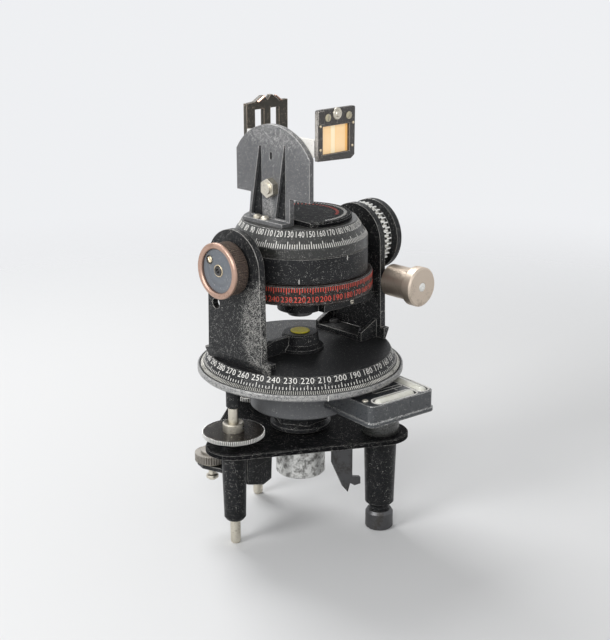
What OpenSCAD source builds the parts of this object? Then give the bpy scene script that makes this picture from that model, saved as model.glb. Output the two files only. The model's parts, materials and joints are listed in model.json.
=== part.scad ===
// Astrocompass: a levelled head with a bearing dial, a yoke, a tilting hour angle drum and a sight.
// The origin is the centre of the spigot's lower face, +Z is up, +X runs along the latitude axis
// towards the worm wheel and +Y towards the zero of the bearing dial.

/* [Stand] */
// Radius of the circle through the three feet
foot_circle = 45.5; // [44.5:0.5:47]
// Direction of the thick leg, seen from above
thick_leg_angle = -53.5; // [-56:0.5:-51]
// Angle of each slim leg from the line opposite the thick leg
slim_leg_spread = 46; // [44:0.5:48]
// Height of the base plate's lower face above the ground
leg_h = 56; // [52:1:60]
// Thickness of the base plate
plate_t = 3; // [2.5:0.5:4]
// Radius of the base plate's corners
plate_corner = 15.5; // [15:0.1:17]
// Radius of the spigot under the base plate
spigot_r = 14; // [12:0.5:16]
// Length of the spigot
spigot_h = 24; // [23:1:25]
// Radius of the levelling wheels
wheel_r = 17.1; // [14:0.5:18]

/* [Head] */
// Radius of the hub under the dial
hub_r = 28.1; // [26:0.5:29]
// Outer radius of the fixed ring
ring_r = 57.15; // [57:0.05:58]
// Half the width of the level box
box_half_w = 22; // [20:0.5:23]
// Sideways place of the level box's middle
box_x = 18.1; // [17:0.5:19]
// Distance of the level box's front from the centre
box_front = 66.5; // [64:0.5:68]
// Radius of the level vials
vial_r = 3.1; // [2.5:0.1:3.2]

/* [Yoke] */
// Outer radius of the bearing dial
dial_r = 55.4; // [55:0.1:55.6]
// Outer face of the left arm
left_arm_x = -48.4; // [-48.4:0.1:-47.5]
// Outer face of the right arm
right_arm_x = 46.8; // [46.6:0.1:46.8]
// Thickness of the arms
arm_t = 3.9; // [3.5:0.1:4]
// Radius of the arms' round tops
arm_r = 20; // [19:0.5:21]
// Height of the latitude axis
axis_z = 129; // [129:0.5:130]

/* [Drum] */
// Outer radius of the drum's middle band
band_r = 37; // [36:0.5:37]
// Outer radius of the lower ring
lower_ring_r = 39.6; // [38:0.2:39.6]
// Teeth of the worm wheel
wheel_teeth = 40; // [40]
// Teeth of the crown gear inside the drum
crown_teeth = 60; // [60]
// Teeth of the pinion on the knob's shaft
pinion_teeth = 12; // [12]
// Radius of the hour angle knob
knob_r = 14.8; // [13:0.2:15]

/* [Sight] */
// Radius of the declination plate's arc
arc_r = 33; // [31:0.5:34]
// Half the width at which the arc plate is cut off
arc_half_w = 27.8; // [26:0.2:28]
// Front of the screen frame
screen_y = -30.6; // [-31:0.1:-30]
// Back of the notch frame
notch_y = 25.4; // [25:0.1:26]

/* [Hidden] */
$fn = 96;

// Colours of the finishes
black = "#1b1c1e";
dark_grey = "#34363a";
nickel = "#b9b4a6";
steel = "#6f7176";
bronze = "#a07a45";
copper = "#9c6a55";

// Clearances: a running fit, a press fit's line-to-line contact and the gap between moving bodies
running = 0.05;
gap = 0.4;

// Heights from the spigot's lower face
plate_z = spigot_h;
plate_top = plate_z + plate_t;
ground_z = plate_z - leg_h;
hub_z = 41;
flange_z = 62.5;
flange_top = 65;
dial_z = flange_top + 0.3;
dial_edge_z = 66.2;
dial_scale_r = 53.7;
dial_scale_z = 67.8;
dial_top = 74.2;
dial_flat_r = 50.4;
box_top = 59;
box_base = 49.5;
lip_base = 47.3;

// Places of the three legs: slim front, slim back and thick
function around(r, a) = [r * cos(a), r * sin(a)];
front_foot = around(foot_circle, thick_leg_angle + 180 - slim_leg_spread + 2 * slim_leg_spread);
back_foot = around(foot_circle, thick_leg_angle + 180 - slim_leg_spread);
thick_foot = around(foot_circle, thick_leg_angle);
slim_feet = [front_foot, back_foot];

// Head of a slim leg, levelling screws and the ball that the instrument's head pivots on
leg_top_r = 7.2;
screw_r = 2.75;
screw_hole_r = 3.6;
wheel_z = 32.9;
wheel_t = 2.6;
ball_r = 6;
ball_z = plate_top + 6;
post_z = plate_top + 2;
tie_r = 3.5;
tie_head_z = 3;

// Feet of the arms: height, half their width, the chamfer over the scale and the bases turned inwards
foot_h = 6.4;
foot_top_z = dial_top + foot_h;
foot_half = 24;
foot_chamfer = 2.6;
foot_t = 3;
left_foot = 9;
right_foot = 12.6;
foot_screw_x = 39.4;
boss_h = 9.2;

// Latitude gearing: worm beside the wheel's lowest tooth gap
wheel_x = 49.4;
wheel_w = 3.6;
wheel_tip_r = 19.3;
worm_drop = 22;
worm_x = wheel_x + wheel_w / 2;
worm_z = axis_z - worm_drop;
worm_core = 3.2;
worm_throw = 0.85;
worm_lead = 2 * PI * 18.4 / wheel_teeth;
worm_turns = 4;
bearing_r = 4.4;
trunnion_r = 5.5;
band_pin_r = 3.6;
flange_in = 36;

// Drum heights, and the crown gear that the pinion meets
ring_base = 109.2;
ring_top = 119.8;
band_base = 120.2;
band_top = 133.6;
hour_base = 134;
hour_edge = 138.8;
plateau_z = 148;
plateau_r = 31;
strut_z = 97;
strut_t = 4;
strut_x = 40.2;
spindle_r = 5;
crown_r = 27;
crown_face = 5;
crown_tip_z = axis_z + 4.9;
crown_root_z = axis_z + 6.8;
pinion_tip_r = 6.4;
pinion_root_r = 4.5;
knob_shaft_r = 2.5;

// Sight: pivot of the arm, and the plate that carries it
pivot_z = 167;
plate_x = -20;
plate_thick = 3;
arc_base_z = 162.5;
arm_x = plate_x + plate_thick + gap;
sight_t = 2.4;
frame_x0 = arm_x;
frame_x1 = 14;
screen_x1 = 10.6;

// Axis-aligned stock: a rod along X, a plate standing across X and a plate standing across Y
module rod_x(x0, x1, r, z = axis_z, fn = 96)
  translate([x0, 0, z]) rotate([0, 90, 0]) cylinder(h = x1 - x0, r = r, $fn = fn);
module rod_y(y0, y1, r, x, z, fn = 96)
  translate([x, y0, z]) rotate([-90, 0, 0]) cylinder(h = y1 - y0, r = r, $fn = fn);
module slab_x(x0, t) translate([x0, 0, 0]) rotate([90, 0, 90]) linear_extrude(t) children();
module slab_y(y0, t) translate([0, y0 + t, 0]) rotate([90, 0, 0]) linear_extrude(t) children();

// Outline of a wheel with equal teeth: each is a trapezoid of the given half widths
function toothed(n, root_r, tip_r, root_half, tip_half, turn = 0) = [
  for (i = [0 : n - 1])
    let (a = turn + 360 * i / n)
      for (p = [[root_r, -root_half], [tip_r, -tip_half], [tip_r, tip_half], [root_r, root_half]])
        [p.x * cos(a) - p.y * sin(a), p.x * sin(a) + p.y * cos(a)]
];

// A knurled disc standing on z = 0
module knurled(r, h, n, depth)
  linear_extrude(h) polygon(toothed(n, r - depth, r, PI * r / n * 0.8, PI * r / n * 0.35));

// A turned piece with both ends chamfered
module turned(r, h, edge) rotate_extrude() polygon([
  [0, 0], [r - edge, 0], [r, edge], [r, h - edge], [r - edge, h], [0, h]
]);

// A rectangle with round corners, from corner a to corner b
module round_rect(a, b, r) {
  translate([a.x + r, a.y]) square([b.x - a.x - 2 * r, b.y - a.y]);
  translate([a.x, a.y + r]) square([b.x - a.x, b.y - a.y - 2 * r]);
  for (x = [a.x + r, b.x - r], y = [a.y + r, b.y - r]) translate([x, y]) circle(r, $fn = 32);
}

// A round wire wound into a helix that rises by the given height
module coil(r, wire_r, rise, turns, sides = 6, per_turn = 16) {
  rings = turns * per_turn;
  points = [for (i = [0 : rings], j = [0 : sides - 1])
    let (a = 360 * i / per_turn, b = 360 * j / sides, out = r + wire_r * cos(b))
      [out * cos(a), out * sin(a), rise * i / rings + wire_r * sin(b)]];
  skin = [for (i = [0 : rings - 1], j = [0 : sides - 1])
    let (k = (j + 1) % sides, at = i * sides, up = at + sides)
      [at + j, up + j, up + k, at + k]];
  start = [for (j = [0 : sides - 1]) j];
  end = [for (j = [sides - 1 : -1 : 0]) rings * sides + j];
  polyhedron(points, concat(skin, [start, end]));
}

// A countersunk slotted screw head lying on z = 0, facing up
module slotted_head(r, h)
  difference() {
    rotate_extrude($fn = 32) polygon([[0, 0], [r, 0], [r, h * 0.4], [r * 0.75, h], [0, h]]);
    translate([-r, -r * 0.14, h * 0.55]) cube([2 * r, r * 0.28, h]);
  }

// Stand

module base_plate()
  color(black) difference() {
    hull() for (p = [front_foot, back_foot, thick_foot]) translate([p.x, p.y, plate_z]) {
      cylinder(h = plate_t - 0.5, r = plate_corner, $fn = 40);
      cylinder(h = plate_t, r = plate_corner - 0.5, $fn = 40);
    }
    for (p = slim_feet) translate([p.x, p.y, plate_z - 1]) cylinder(h = plate_t + 2, r = screw_hole_r);
    translate([0, 0, plate_z - 1]) cylinder(h = plate_t + 2, r = tie_r + 1.5);
  }

module slim_leg()
  difference() {
    rotate_extrude() polygon([
      [0, -17.2], [5, -17.2], [6.1, -15.6], [6.1, -14], [6.8, plate_z - 10], [leg_top_r, plate_z],
      [0, plate_z]
    ]);
    translate([0, 0, -2]) cylinder(h = plate_z + 3, r = screw_hole_r);
    translate([0, 0, -18]) cylinder(h = 13, r = 2.85);
  }

module slim_legs() color(black) for (p = slim_feet) translate([p.x, p.y, 0]) slim_leg();

module thick_leg()
  color(black) translate([thick_foot.x, thick_foot.y, 0]) rotate_extrude() polygon([
    [0, -20.7], [5.6, -20.7], [5.6, -18.4], [8.2, -15.8], [8.2, -14], [9, plate_z - 10], [9.2, plate_z],
    [0, plate_z]
  ]);

module foot_pins()
  color(nickel) for (p = slim_feet) translate([p.x, p.y, 0]) rotate_extrude($fn = 48) polygon([
    [0, ground_z], [1.9, ground_z], [2.6, ground_z + 0.6], [2.85, ground_z + 1.6], [2.85, -5], [0, -5]
  ]);

module foot_ring()
  color(steel) translate([thick_foot.x, thick_foot.y, ground_z]) rotate_extrude() polygon([
    [0, 0], [6.9, 0], [7.9, 1], [7.9, 9.6], [6.8, 11.3], [0, 11.3]
  ]);

module base_spigot()
  color(nickel) difference() {
    rotate_extrude() polygon([
      [0, 0], [spigot_r - 0.8, 0], [spigot_r, 0.8], [spigot_r, plate_z], [0, plate_z]
    ]);
    translate([0, 0, 1.5]) cylinder(h = plate_z, r = 8.5);
  }

// The seat is bored spherically for the head's ball and opens upwards for its stem
module pivot_seat()
  color(black) translate([thick_foot.x, thick_foot.y, plate_top]) difference() {
    rotate_extrude() polygon([[0, 0], [10.4, 0], [10.4, 5], [9.6, 8], [8, 9.6], [6.4, 10.2], [0, 10.2]]);
    translate([0, 0, ball_z - plate_top]) sphere(r = ball_r + running);
    translate([0, 0, ball_z - plate_top + 2]) cylinder(h = 10, r = ball_r - 1.2);
  }

// The spring that draws the head down round the tie bolt
module tie_spring()
  color(steel) translate([0, 0, tie_head_z + 3.6])
    coil(5.8, 0.6, plate_z - tie_head_z - 4.4, 4.5);

clamp_at = around(50.6, 144);

// The hanger runs under the plate, past the front leg, out to the clamp bolt
module clamp_bracket()
  color(black) difference() {
    union() {
      slab_y(2, 2.4) polygon([[-41, plate_z], [-20, plate_z], [-21, 0.5], [-27, -1.5], [-38.5, 2]]);
      translate([0, 0, 6]) linear_extrude(2.4) polygon([
        [-40, 2], [-24, 2], [-24, 12], clamp_at + [7, 7], clamp_at + [-5, 7], clamp_at + [-7, 0]
      ]);
    }
    translate([front_foot.x, front_foot.y, -5]) cylinder(h = 30, r = leg_top_r);
    translate([clamp_at.x, clamp_at.y, 5]) cylinder(h = 5, r = 2.2);
  }

module clamp_bolt()
  color(nickel) translate([clamp_at.x, clamp_at.y, 0]) rotate_extrude($fn = 48) polygon([
    [0, -2.4], [2.2, -2.2], [3.5, -1], [3.5, 0.4], [2.1, 1.2], [2.1, 16.2], [1.5, 16.8], [0, 16.8]
  ]);

module clamp_washer()
  color("#d8ceb0") translate([clamp_at.x, clamp_at.y, 8.4]) difference() {
    turned(7.2, 1.2, 0.3);
    translate([0, 0, -1]) cylinder(h = 4, r = 2.2);
  }

// The knurled nut has a plain upper shoulder
module clamp_nut()
  color(copper) translate([clamp_at.x, clamp_at.y, 9.8]) difference() {
    union() {
      knurled(9.6, 4.6, 40, 0.7);
      translate([0, 0, 4.6]) turned(6.4, 1.8, 0.4);
    }
    translate([0, 0, -1]) cylinder(h = 9, r = 2.1 + running);
  }

module locating_blade()
  color(steel) translate([8.4, -26.5, 0]) rotate([0, 0, -24]) {
    slab_y(-1.2, 2.4) polygon([
      [-7.5, plate_z], [4.5, plate_z], [4.5, 1.5], [1.8, -8], [-1, -4.5], [-7.5, 11]
    ]);
    slab_y(-1.2, 2.4) polygon([[4.5, 1], [9.5, 0], [9.5, -4], [6, -4.6], [3.2, -2.8]]);
  }

// Head

// Hub and fixed ring in one casting, open below for the spindle's nut
module head_casting()
  color(dark_grey) difference() {
    rotate_extrude() polygon([
      [0, hub_z], [hub_r - 1, hub_z], [hub_r, hub_z + 1], [hub_r, flange_z - 3], [hub_r + 3, flange_z],
      [ring_r - 1, flange_z], [ring_r, flange_z + 1], [ring_r, 65.8], [ring_r - 0.5, 66.3],
      [dial_r + 0.7, 66.3], [dial_r + 0.7, flange_top], [0, flange_top]
    ]);
    translate([0, 0, 43]) cylinder(h = 8, r = 16);
    translate([0, 0, 50]) cylinder(h = 20, r = 11);
    translate([0, 0, hub_z - 1]) cylinder(h = 3, r = tie_r);
  }

module central_post()
  color(black) difference() {
    union() {
      translate([0, 0, post_z + 3.5]) cylinder(h = hub_z - post_z - 3.5, r = 15.5, $fn = 6);
      translate([0, 0, post_z]) rotate_extrude() polygon([[0, 0], [17, 0], [17, 2], [15, 3.5], [0, 3.5]]);
    }
    translate([0, 0, 20]) cylinder(h = 22, r = tie_r);
  }

module tie_bolt()
  color(steel) {
    translate([0, 0, tie_head_z]) turned(7.5, 2.6, 0.4);
    translate([0, 0, tie_head_z + 2]) cylinder(h = 42.4 - tie_head_z - 2, r = tie_r);
  }

module pivot_stud()
  color(steel) translate([thick_foot.x, thick_foot.y, 0]) {
    translate([0, 0, ball_z]) sphere(r = ball_r);
    translate([0, 0, ball_z + 3]) cylinder(h = lip_base - ball_z - 3, r = 3.2);
  }

// Sockets under the ring that the levelling screws turn in
module screw_bosses()
  color(black) for (p = slim_feet) translate([p.x, p.y, 0]) difference() {
    rotate_extrude($fn = 48) polygon([
      [0, 49], [3.4, 49], [3.8, 49.5], [3.8, 59], [5.4, flange_z], [0, flange_z]
    ]);
    translate([0, 0, 48]) cylinder(h = 8, r = 1.8 + running, $fn = 48);
  }

module azimuth_bush()
  color(bronze) translate([0, 0, 50]) difference() {
    cylinder(h = flange_top - 50, r = 11);
    translate([0, 0, -1]) cylinder(h = 20, r = 9 + running);
  }

// Places the level box: its own y runs out from the hub
module box_frame() rotate([0, 0, -7]) translate([box_x, 0, 0]) children();

// Grooves of the two vials in the box's frame
module vial_grooves(r, ends)
  for (s = [[-15.5, -61.6, 90, 27], [17.4, -64.2, 180, 27]])
    translate([s[0], s[1], box_top - 1.6]) rotate([0, 90, s[2] - 90]) translate([0, 0, -ends])
      cylinder(h = s[3] + 2 * ends, r = r, $fn = 48);

module level_box()
  color(black) difference() {
    box_frame() {
      translate([0, 0, box_base]) linear_extrude(box_top - box_base)
        round_rect([-box_half_w, -box_front], [box_half_w, -24], 3.2);
      translate([0, 0, lip_base]) linear_extrude(box_base - lip_base)
        round_rect([-box_half_w - 0.7, -box_front - 0.7], [box_half_w + 0.7, -18], 3.6);
    }
    translate([0, 0, 40]) cylinder(h = 30, r = hub_r);
    box_frame() vial_grooves(vial_r + 0.25, 0.8);
  }

module level_vials() color("#dfe3c0") box_frame() vial_grooves(vial_r, 0);

module level_cover_screws()
  color(nickel) box_frame() for (p = [[-18.6, -57], [-18.6, -36], [5, -36]])
    translate([p.x, p.y, box_top]) slotted_head(1.7, 0.8);

// Levelling screws

module level_screw()
  color(nickel) rotate_extrude($fn = 48) polygon([
    [0, 9], [1.8, 9], [screw_r, 10], [screw_r, 48.4], [1.8, 48.9], [1.8, 54], [1.4, 54.6], [0, 54.6]
  ]);

// The wheel's collar takes a grub screw
module level_wheel()
  color(steel) difference() {
    union() {
      translate([0, 0, wheel_z]) knurled(wheel_r, wheel_t, 96, 0.45);
      translate([0, 0, wheel_z + wheel_t]) turned(5.85, 4.8, 0.5);
      translate([0, 0, wheel_z - 3]) turned(5.2, 3, 0.4);
    }
    translate([0, 0, wheel_z - 4]) cylinder(h = 20, r = screw_r);
    translate([0, 0, wheel_z + wheel_t + 2.4]) rotate([90, 0, 20]) cylinder(h = 8, r = 1.1, $fn = 24);
  }

module level_screw_front() translate([front_foot.x, front_foot.y, 0]) level_screw();
module level_wheel_front() translate([front_foot.x, front_foot.y, 0]) level_wheel();
module level_screw_back() translate([back_foot.x, back_foot.y, 0]) level_screw();
module level_wheel_back() translate([back_foot.x, back_foot.y, 0]) level_wheel();

// Azimuth part

module bearing_dial()
  color(black) difference() {
    rotate_extrude() polygon([
      [0, dial_z], [dial_r, dial_z], [dial_r, dial_edge_z], [dial_scale_r, dial_scale_z],
      [dial_flat_r, dial_top], [0, dial_top]
    ]);
    translate([0, 0, dial_z - 1]) cylinder(h = dial_top - dial_z + 2, r = 9);
  }

module azimuth_spindle()
  color(steel) {
    translate([0, 0, 45.2]) cylinder(h = dial_top - 45.2, r = 9);
  }

module spindle_nut()
  color(bronze) translate([0, 0, 45.2]) difference() {
    linear_extrude(4.4) polygon(toothed(8, 13.2, 14.6, 3.4, 3));
    translate([0, 0, -1]) cylinder(h = 7, r = 9);
  }

// Side view of an arm: round top and nearly straight sides
module arm_side() {
  translate([0, axis_z]) circle(arm_r, $fn = 128);
  polygon([
    [-arm_r, axis_z], [-arm_r - 1.2, foot_top_z - 0.8], [arm_r + 1.2, foot_top_z - 0.8], [arm_r, axis_z]
  ]);
}

// Foot of an arm whose outer face stands at x = 0 and that lies on the dial towards +X
module arm_foot(length) {
  translate([0, 0, dial_top]) {
    slab_y(-foot_half, 2 * foot_half) polygon([
      [foot_chamfer, 0], [arm_t, 0], [arm_t, foot_h], [0, foot_h], [0, foot_h - 1]
    ]);
    translate([arm_t, -18, 0]) cube([length, 36, foot_t]);
  }
}

module foot_holes(x)
  for (y = [-12, 12]) translate([x, y, dial_top - 1]) cylinder(h = foot_t + 2, r = 2, $fn = 32);

// The left arm has a hole below the knob
module left_arm()
  color(black) difference() {
    union() {
      slab_x(left_arm_x, arm_t) arm_side();
      translate([left_arm_x, 0, 0]) arm_foot(left_foot);
    }
    rod_x(left_arm_x - 1, left_arm_x + arm_t + 1, 7.5);
    translate([0, 14.2, 0]) rod_x(left_arm_x - 1, left_arm_x + arm_t + 1, 2.9, 106.5, 32);
    foot_holes(-foot_screw_x);
  }

// The right arm's foot is stiffened by a gusset at each end
module right_arm()
  color(black) difference() {
    union() {
      slab_x(right_arm_x - arm_t, arm_t) arm_side();
      translate([right_arm_x, 0, 0]) mirror([1, 0, 0]) {
        arm_foot(right_foot);
        for (y = [-18, 15.6]) slab_y(y, 2.4) polygon([
          [arm_t, dial_top], [arm_t + right_foot, dial_top], [arm_t + right_foot, dial_top + 5],
          [arm_t, dial_top + 10.6]
        ]);
      }
    }
    rod_x(right_arm_x - arm_t - 1, right_arm_x + 1, 7.5);
    foot_holes(foot_screw_x);
  }

module bush(x0, length)
  difference() {
    rod_x(x0, x0 + length, 7.5);
    rod_x(x0 - 1, x0 + length + 1, trunnion_r + running);
  }

module arm_bushes()
  color(bronze) {
    bush(left_arm_x, arm_t);
    bush(right_arm_x - arm_t, arm_t + 0.6);
  }

module arm_screws()
  color(steel) for (x = [-foot_screw_x, foot_screw_x], y = [-12, 12]) translate([x, y, dial_top]) {
    cylinder(h = foot_t, r = 2, $fn = 32);
    translate([0, 0, foot_t]) slotted_head(3.2, 1.8);
  }

// A round boss in the middle of the floor, with a low rib that ties it to the left arm's foot
module centre_boss()
  color(black) {
    translate([0, 0, dial_top]) rotate_extrude() polygon([
      [0, 0], [13, 0], [13, 1.5], [10.6, 3.4], [10, boss_h - 0.6], [9.4, boss_h], [0, boss_h]
    ]);
    translate([0, 0, dial_top]) slab_y(-1.6, 3.2) polygon([
      [-35.4, 0], [-8, 0], [-8, boss_h - 0.8], [-22, boss_h - 0.8], [-35.4, boss_h - 5]
    ]);
  }

module centre_disc() color("#e3c400") translate([0, 0, dial_top + boss_h]) turned(5.4, 0.7, 0.25);

// Two bearings that hold the worm against the wheel
module worm_bracket()
  color(black) difference() {
    union() {
      for (y = [-12.4, 9.2]) {
        rod_y(y, y + 3.2, bearing_r, worm_x, worm_z);
        translate([right_arm_x, y, worm_z - bearing_r]) cube([worm_x - right_arm_x, 3.2, 2 * bearing_r]);
      }
      translate([right_arm_x, -12.4, worm_z - 7.6]) cube([worm_x - right_arm_x + 3, 24.8, 3]);
    }
    rod_y(-14, 14, 2.4 + running, worm_x, worm_z);
  }

// A single-start worm: its round core runs off centre, so each turn raises one round thread
module worm_shaft()
  color(steel) {
    rod_y(-40, 13, 2.4, worm_x, worm_z);
    translate([worm_x, -worm_turns / 2 * worm_lead, worm_z]) rotate([-90, 0, 0])
      linear_extrude(worm_turns * worm_lead, twist = -360 * worm_turns, slices = 16 * worm_turns, $fn = 18)
        translate([0, -worm_throw]) circle(worm_core, $fn = 18);
  }

module worm_knob()
  color(copper) difference() {
    union() {
      rod_y(-21.5, -13, 4.1, worm_x, worm_z);
      rod_y(-38, -21.5, 9, worm_x, worm_z);
      translate([worm_x, -44.3, worm_z]) rotate([-90, 0, 0]) turned(11.1, 6.4, 0.9);
    }
    rod_y(-41, -12, 2.4, worm_x, worm_z);
    rod_y(-46, -43.9, 2.6, worm_x, worm_z, 48);
  }

// Latitude cradle

// The band carries a web with the drum's upper bearing and two bosses for the trunnions
module middle_band()
  color(black) difference() {
    union() {
      difference() {
        translate([0, 0, band_base]) cylinder(h = band_top - band_base, r = band_r);
        translate([0, 0, band_base - 1]) cylinder(h = band_top - band_base + 2, r = band_r - 3.4);
      }
      translate([0, 0, band_base]) cylinder(h = 1.8, r = band_r - 2);
      translate([0, 0, band_base]) cylinder(h = 5, r = 9);
    }
    translate([0, 0, band_base - 1]) cylinder(h = 7, r = spindle_r + running);
    rod_x(-band_r - 2, -band_r + 6, band_pin_r);
    rod_x(band_r - 6, band_r + 2, band_pin_r);
  }

// A journal with a pin through the band's wall; its flange is hollowed to sit on the band and to
// clear the dial and the ring that turn above and below it
module trunnion(pin_x, flange_x, end_x) {
  side = sign(pin_x);
  rod_x(min(pin_x, end_x), max(pin_x, end_x), band_pin_r);
  rod_x(min(side * (band_r + gap), end_x), max(side * (band_r + gap), end_x), trunnion_r);
  difference() {
    rod_x(min(side * flange_in, flange_x), max(side * flange_in, flange_x), 10.5);
    translate([0, 0, axis_z - 15]) cylinder(h = 30, r = band_r);
    translate([0, 0, band_top - 0.2]) cylinder(h = 12, r = band_r + gap);
    translate([0, 0, band_base - 10]) cylinder(h = 10.2, r = lower_ring_r + gap);
  }
}

// The left trunnion is bored for the knob's shaft
module left_trunnion()
  color(black) difference() {
    trunnion(-33.6, -43.6, -48.4);
    rod_x(-50, -30, knob_shaft_r + running);
  }

module right_trunnion() color(black) trunnion(33.6, strut_x, 59);

module worm_wheel()
  color(steel) difference() {
    slab_x(wheel_x, wheel_w) translate([0, axis_z])
      polygon(toothed(wheel_teeth, 17.4, wheel_tip_r, 0.95, 0.3, -90 + 180 / wheel_teeth));
    rod_x(wheel_x - 1, wheel_x + wheel_w + 1, trunnion_r);
  }

// A dish: a narrow hub beside the wheel and a wide rim that stands clear of the worm
module latitude_disc()
  color(black) difference() {
    translate([wheel_x + wheel_w, 0, axis_z]) rotate([0, 90, 0]) rotate_extrude() polygon([
      [0, 0], [16.8, 0], [16.8, 2.6], [20.15, 4], [20.15, 7.6], [19.3, 8], [18.2, 8], [16.6, 5.4], [0, 5.4]
    ]);
    rod_x(50, 62, trunnion_r);
  }

// The strut hangs from the right trunnion and holds the drum's lower bearing under the ring
module drum_strut()
  color(black) difference() {
    union() {
      slab_x(strut_x, 2) {
        translate([0, axis_z]) circle(10.5);
        polygon([[-10.4, axis_z], [-17, strut_z], [17, strut_z], [10.4, axis_z]]);
      }
      translate([0, 0, strut_z]) linear_extrude(strut_t) {
        polygon([[2, -17], [strut_x + 2, -17], [strut_x + 2, 17], [2, 12]]);
        circle(12.6);
      }
    }
    translate([0, 0, strut_z - 1]) cylinder(h = strut_t + 2, r = spindle_r + running);
    rod_x(38, 44, trunnion_r);
  }

// Hour angle drum

module hour_dial()
  color(black) difference() {
    rotate_extrude() polygon([
      [spindle_r, plateau_z], [plateau_r, plateau_z], [band_r, hour_edge], [band_r, hour_base],
      [band_r - 3.4, hour_base], [band_r - 3.4, 139.4], [30.6, 143], [spindle_r, 143]
    ]);
    translate([0, 0, 140]) cylinder(h = 10, r = spindle_r);
  }

module hour_ring()
  color(black) difference() {
    rotate_extrude() polygon([
      [spindle_r, ring_base], [lower_ring_r - 0.8, ring_base], [lower_ring_r, ring_base + 0.8],
      [lower_ring_r, ring_top - 0.6], [lower_ring_r - 0.6, ring_top], [35, ring_top], [34, ring_base + 2.8],
      [spindle_r, ring_base + 2.8]
    ]);
    translate([0, 0, 100]) cylinder(h = 20, r = spindle_r);
  }

// One spindle ties the upper dial and the lower ring together through both bearings
module drum_spindle()
  color(steel) {
    translate([0, 0, 95.2]) cylinder(h = plateau_z - 95.2, r = spindle_r);
    translate([0, 0, 93.6]) turned(7, strut_z - 93.6 - 0.1, 0.4);
    translate([0, 0, strut_z + strut_t + 0.1]) cylinder(h = ring_base - strut_z - strut_t - 0.1, r = 7);
  }

// A face gear: radial teeth under a flat ring
module crown_gear()
  color(bronze) {
    difference() {
      translate([0, 0, crown_root_z]) cylinder(h = 143 - crown_root_z, r = crown_r + crown_face / 2);
      translate([0, 0, crown_root_z - 1]) cylinder(h = 10, r = crown_r - crown_face / 2);
    }
    for (i = [0 : crown_teeth - 1]) rotate([0, 0, 360 / crown_teeth * i])
      slab_x(crown_r - crown_face / 2, crown_face) polygon([
        [-0.55, crown_root_z + 0.1], [-0.3, crown_tip_z], [0.3, crown_tip_z], [0.55, crown_root_z + 0.1]
      ]);
  }

// The raised cap ends in a straight edge beside the declination plate
module dial_cap()
  color(black) translate([0, 0, plateau_z]) difference() {
    rotate_extrude() polygon([[0, 0], [28.2, 0], [28.2, 1.9], [27.4, 2.7], [0, 2.7]]);
    translate([-40, -40, -1]) cube([25, 80, 5]);
  }

// Front view of the declination plate: cut-off arc, tapered pedestal and two tall slots
module plate_front()
  difference() {
    union() {
      intersection() {
        translate([0, pivot_z]) circle(arc_r, $fn = 180);
        translate([-arc_half_w, arc_base_z]) square([2 * arc_half_w, 60]);
      }
      polygon([
        [-13.2, plateau_z], [18.6, plateau_z], [16.6, arc_base_z + 1], [-13.2, arc_base_z + 1]
      ]);
    }
    polygon([[9.9, 188], [8.4, 188.2], [7.6, plateau_z + 2.6], [16.9, plateau_z + 2.6]]);
    polygon([[-9.2, 190], [-10, 190.2], [-9.9, plateau_z + 2.6], [-2, plateau_z + 2.6]]);
    hull() for (z = [182.4, 184.6]) translate([0.9, z]) circle(1, $fn = 16);
    translate([0, pivot_z]) circle(3, $fn = 48);
  }

module declination_plate()
  color(dark_grey) difference() {
    union() {
      slab_x(plate_x, plate_thick) plate_front();
      translate([plate_x - 5.8, -13.2, plateau_z]) cube([5.9, 30.4, 2]);
    }
    for (y = [3.5, 9.2]) translate([plate_x - 3.2, y - 1, plateau_z - 1]) cylinder(h = 5, r = 1.2, $fn = 24);
  }

module plate_screws()
  color(nickel) for (y = [3.5, 9.2]) translate([plate_x - 3.2, y - 1, plateau_z]) {
    cylinder(h = 2, r = 1.2, $fn = 24);
    translate([0, 0, 2]) rotate_extrude($fn = 32)
      polygon([[0, 0], [2.4, 0], [2.2, 1.1], [1.3, 1.9], [0, 2.1]]);
  }

// Stud and nut that the sight arm swings on
module pivot_nut()
  color(nickel) {
    rod_x(plate_x - 4, plate_x, 5.2, pivot_z, 6);
    rod_x(plate_x - 5, arm_x + sight_t + 1.4, 3, pivot_z);
    rod_x(arm_x + sight_t + 0.1, arm_x + sight_t + 1.6, 5, pivot_z);
  }

// Hour angle knob

module knob_shaft() color(steel) rod_x(-59, -22, knob_shaft_r);

// The knob is sunk in front, with a plain boss against the arm
module hour_knob()
  color("#4a3a33") difference() {
    union() {
      translate([-58.4, 0, axis_z]) rotate([0, 90, 0]) knurled(knob_r - 0.7, 8.2, 72, 0.4);
      rod_x(-50.2, -48.9, 9.4);
    }
    rod_x(-61, -56.8, knob_r - 2.8);
    rod_x(-57, -48, knob_shaft_r);
  }

module knob_rim()
  color(copper) difference() {
    translate([-60.2, 0, axis_z]) rotate([0, 90, 0]) rotate_extrude() polygon([
      [knob_r - 3, 0.6], [knob_r - 2.4, 0], [knob_r - 0.6, 0], [knob_r, 0.6], [knob_r, 2.8],
      [knob_r - 3, 2.8]
    ]);
    rod_x(-58.4, -57, knob_r + 1);
  }

module knob_pinion()
  color(bronze) difference() {
    slab_x(-crown_r - crown_face / 2 + 0.3, crown_face - 0.6) translate([0, axis_z])
      polygon(toothed(pinion_teeth, pinion_root_r, pinion_tip_r, 0.75, 0.35, 90 + 180 / pinion_teeth));
    rod_x(-34, -20, knob_shaft_r);
  }

// Sight

// Side view of the sight arm: pivot boss, stem and a bar that bends up to the notch frame
module arm_outline() {
  translate([0, pivot_z]) circle(6.5);
  polygon([[-5, pivot_z], [5, pivot_z], [7, 188], [-7, 188]]);
  polygon([[screen_y + 2.8, 185.8], [notch_y - 2.6, 187.4], [notch_y - 2.6, 195], [screen_y + 2.8, 194.6]]);
}

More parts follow.
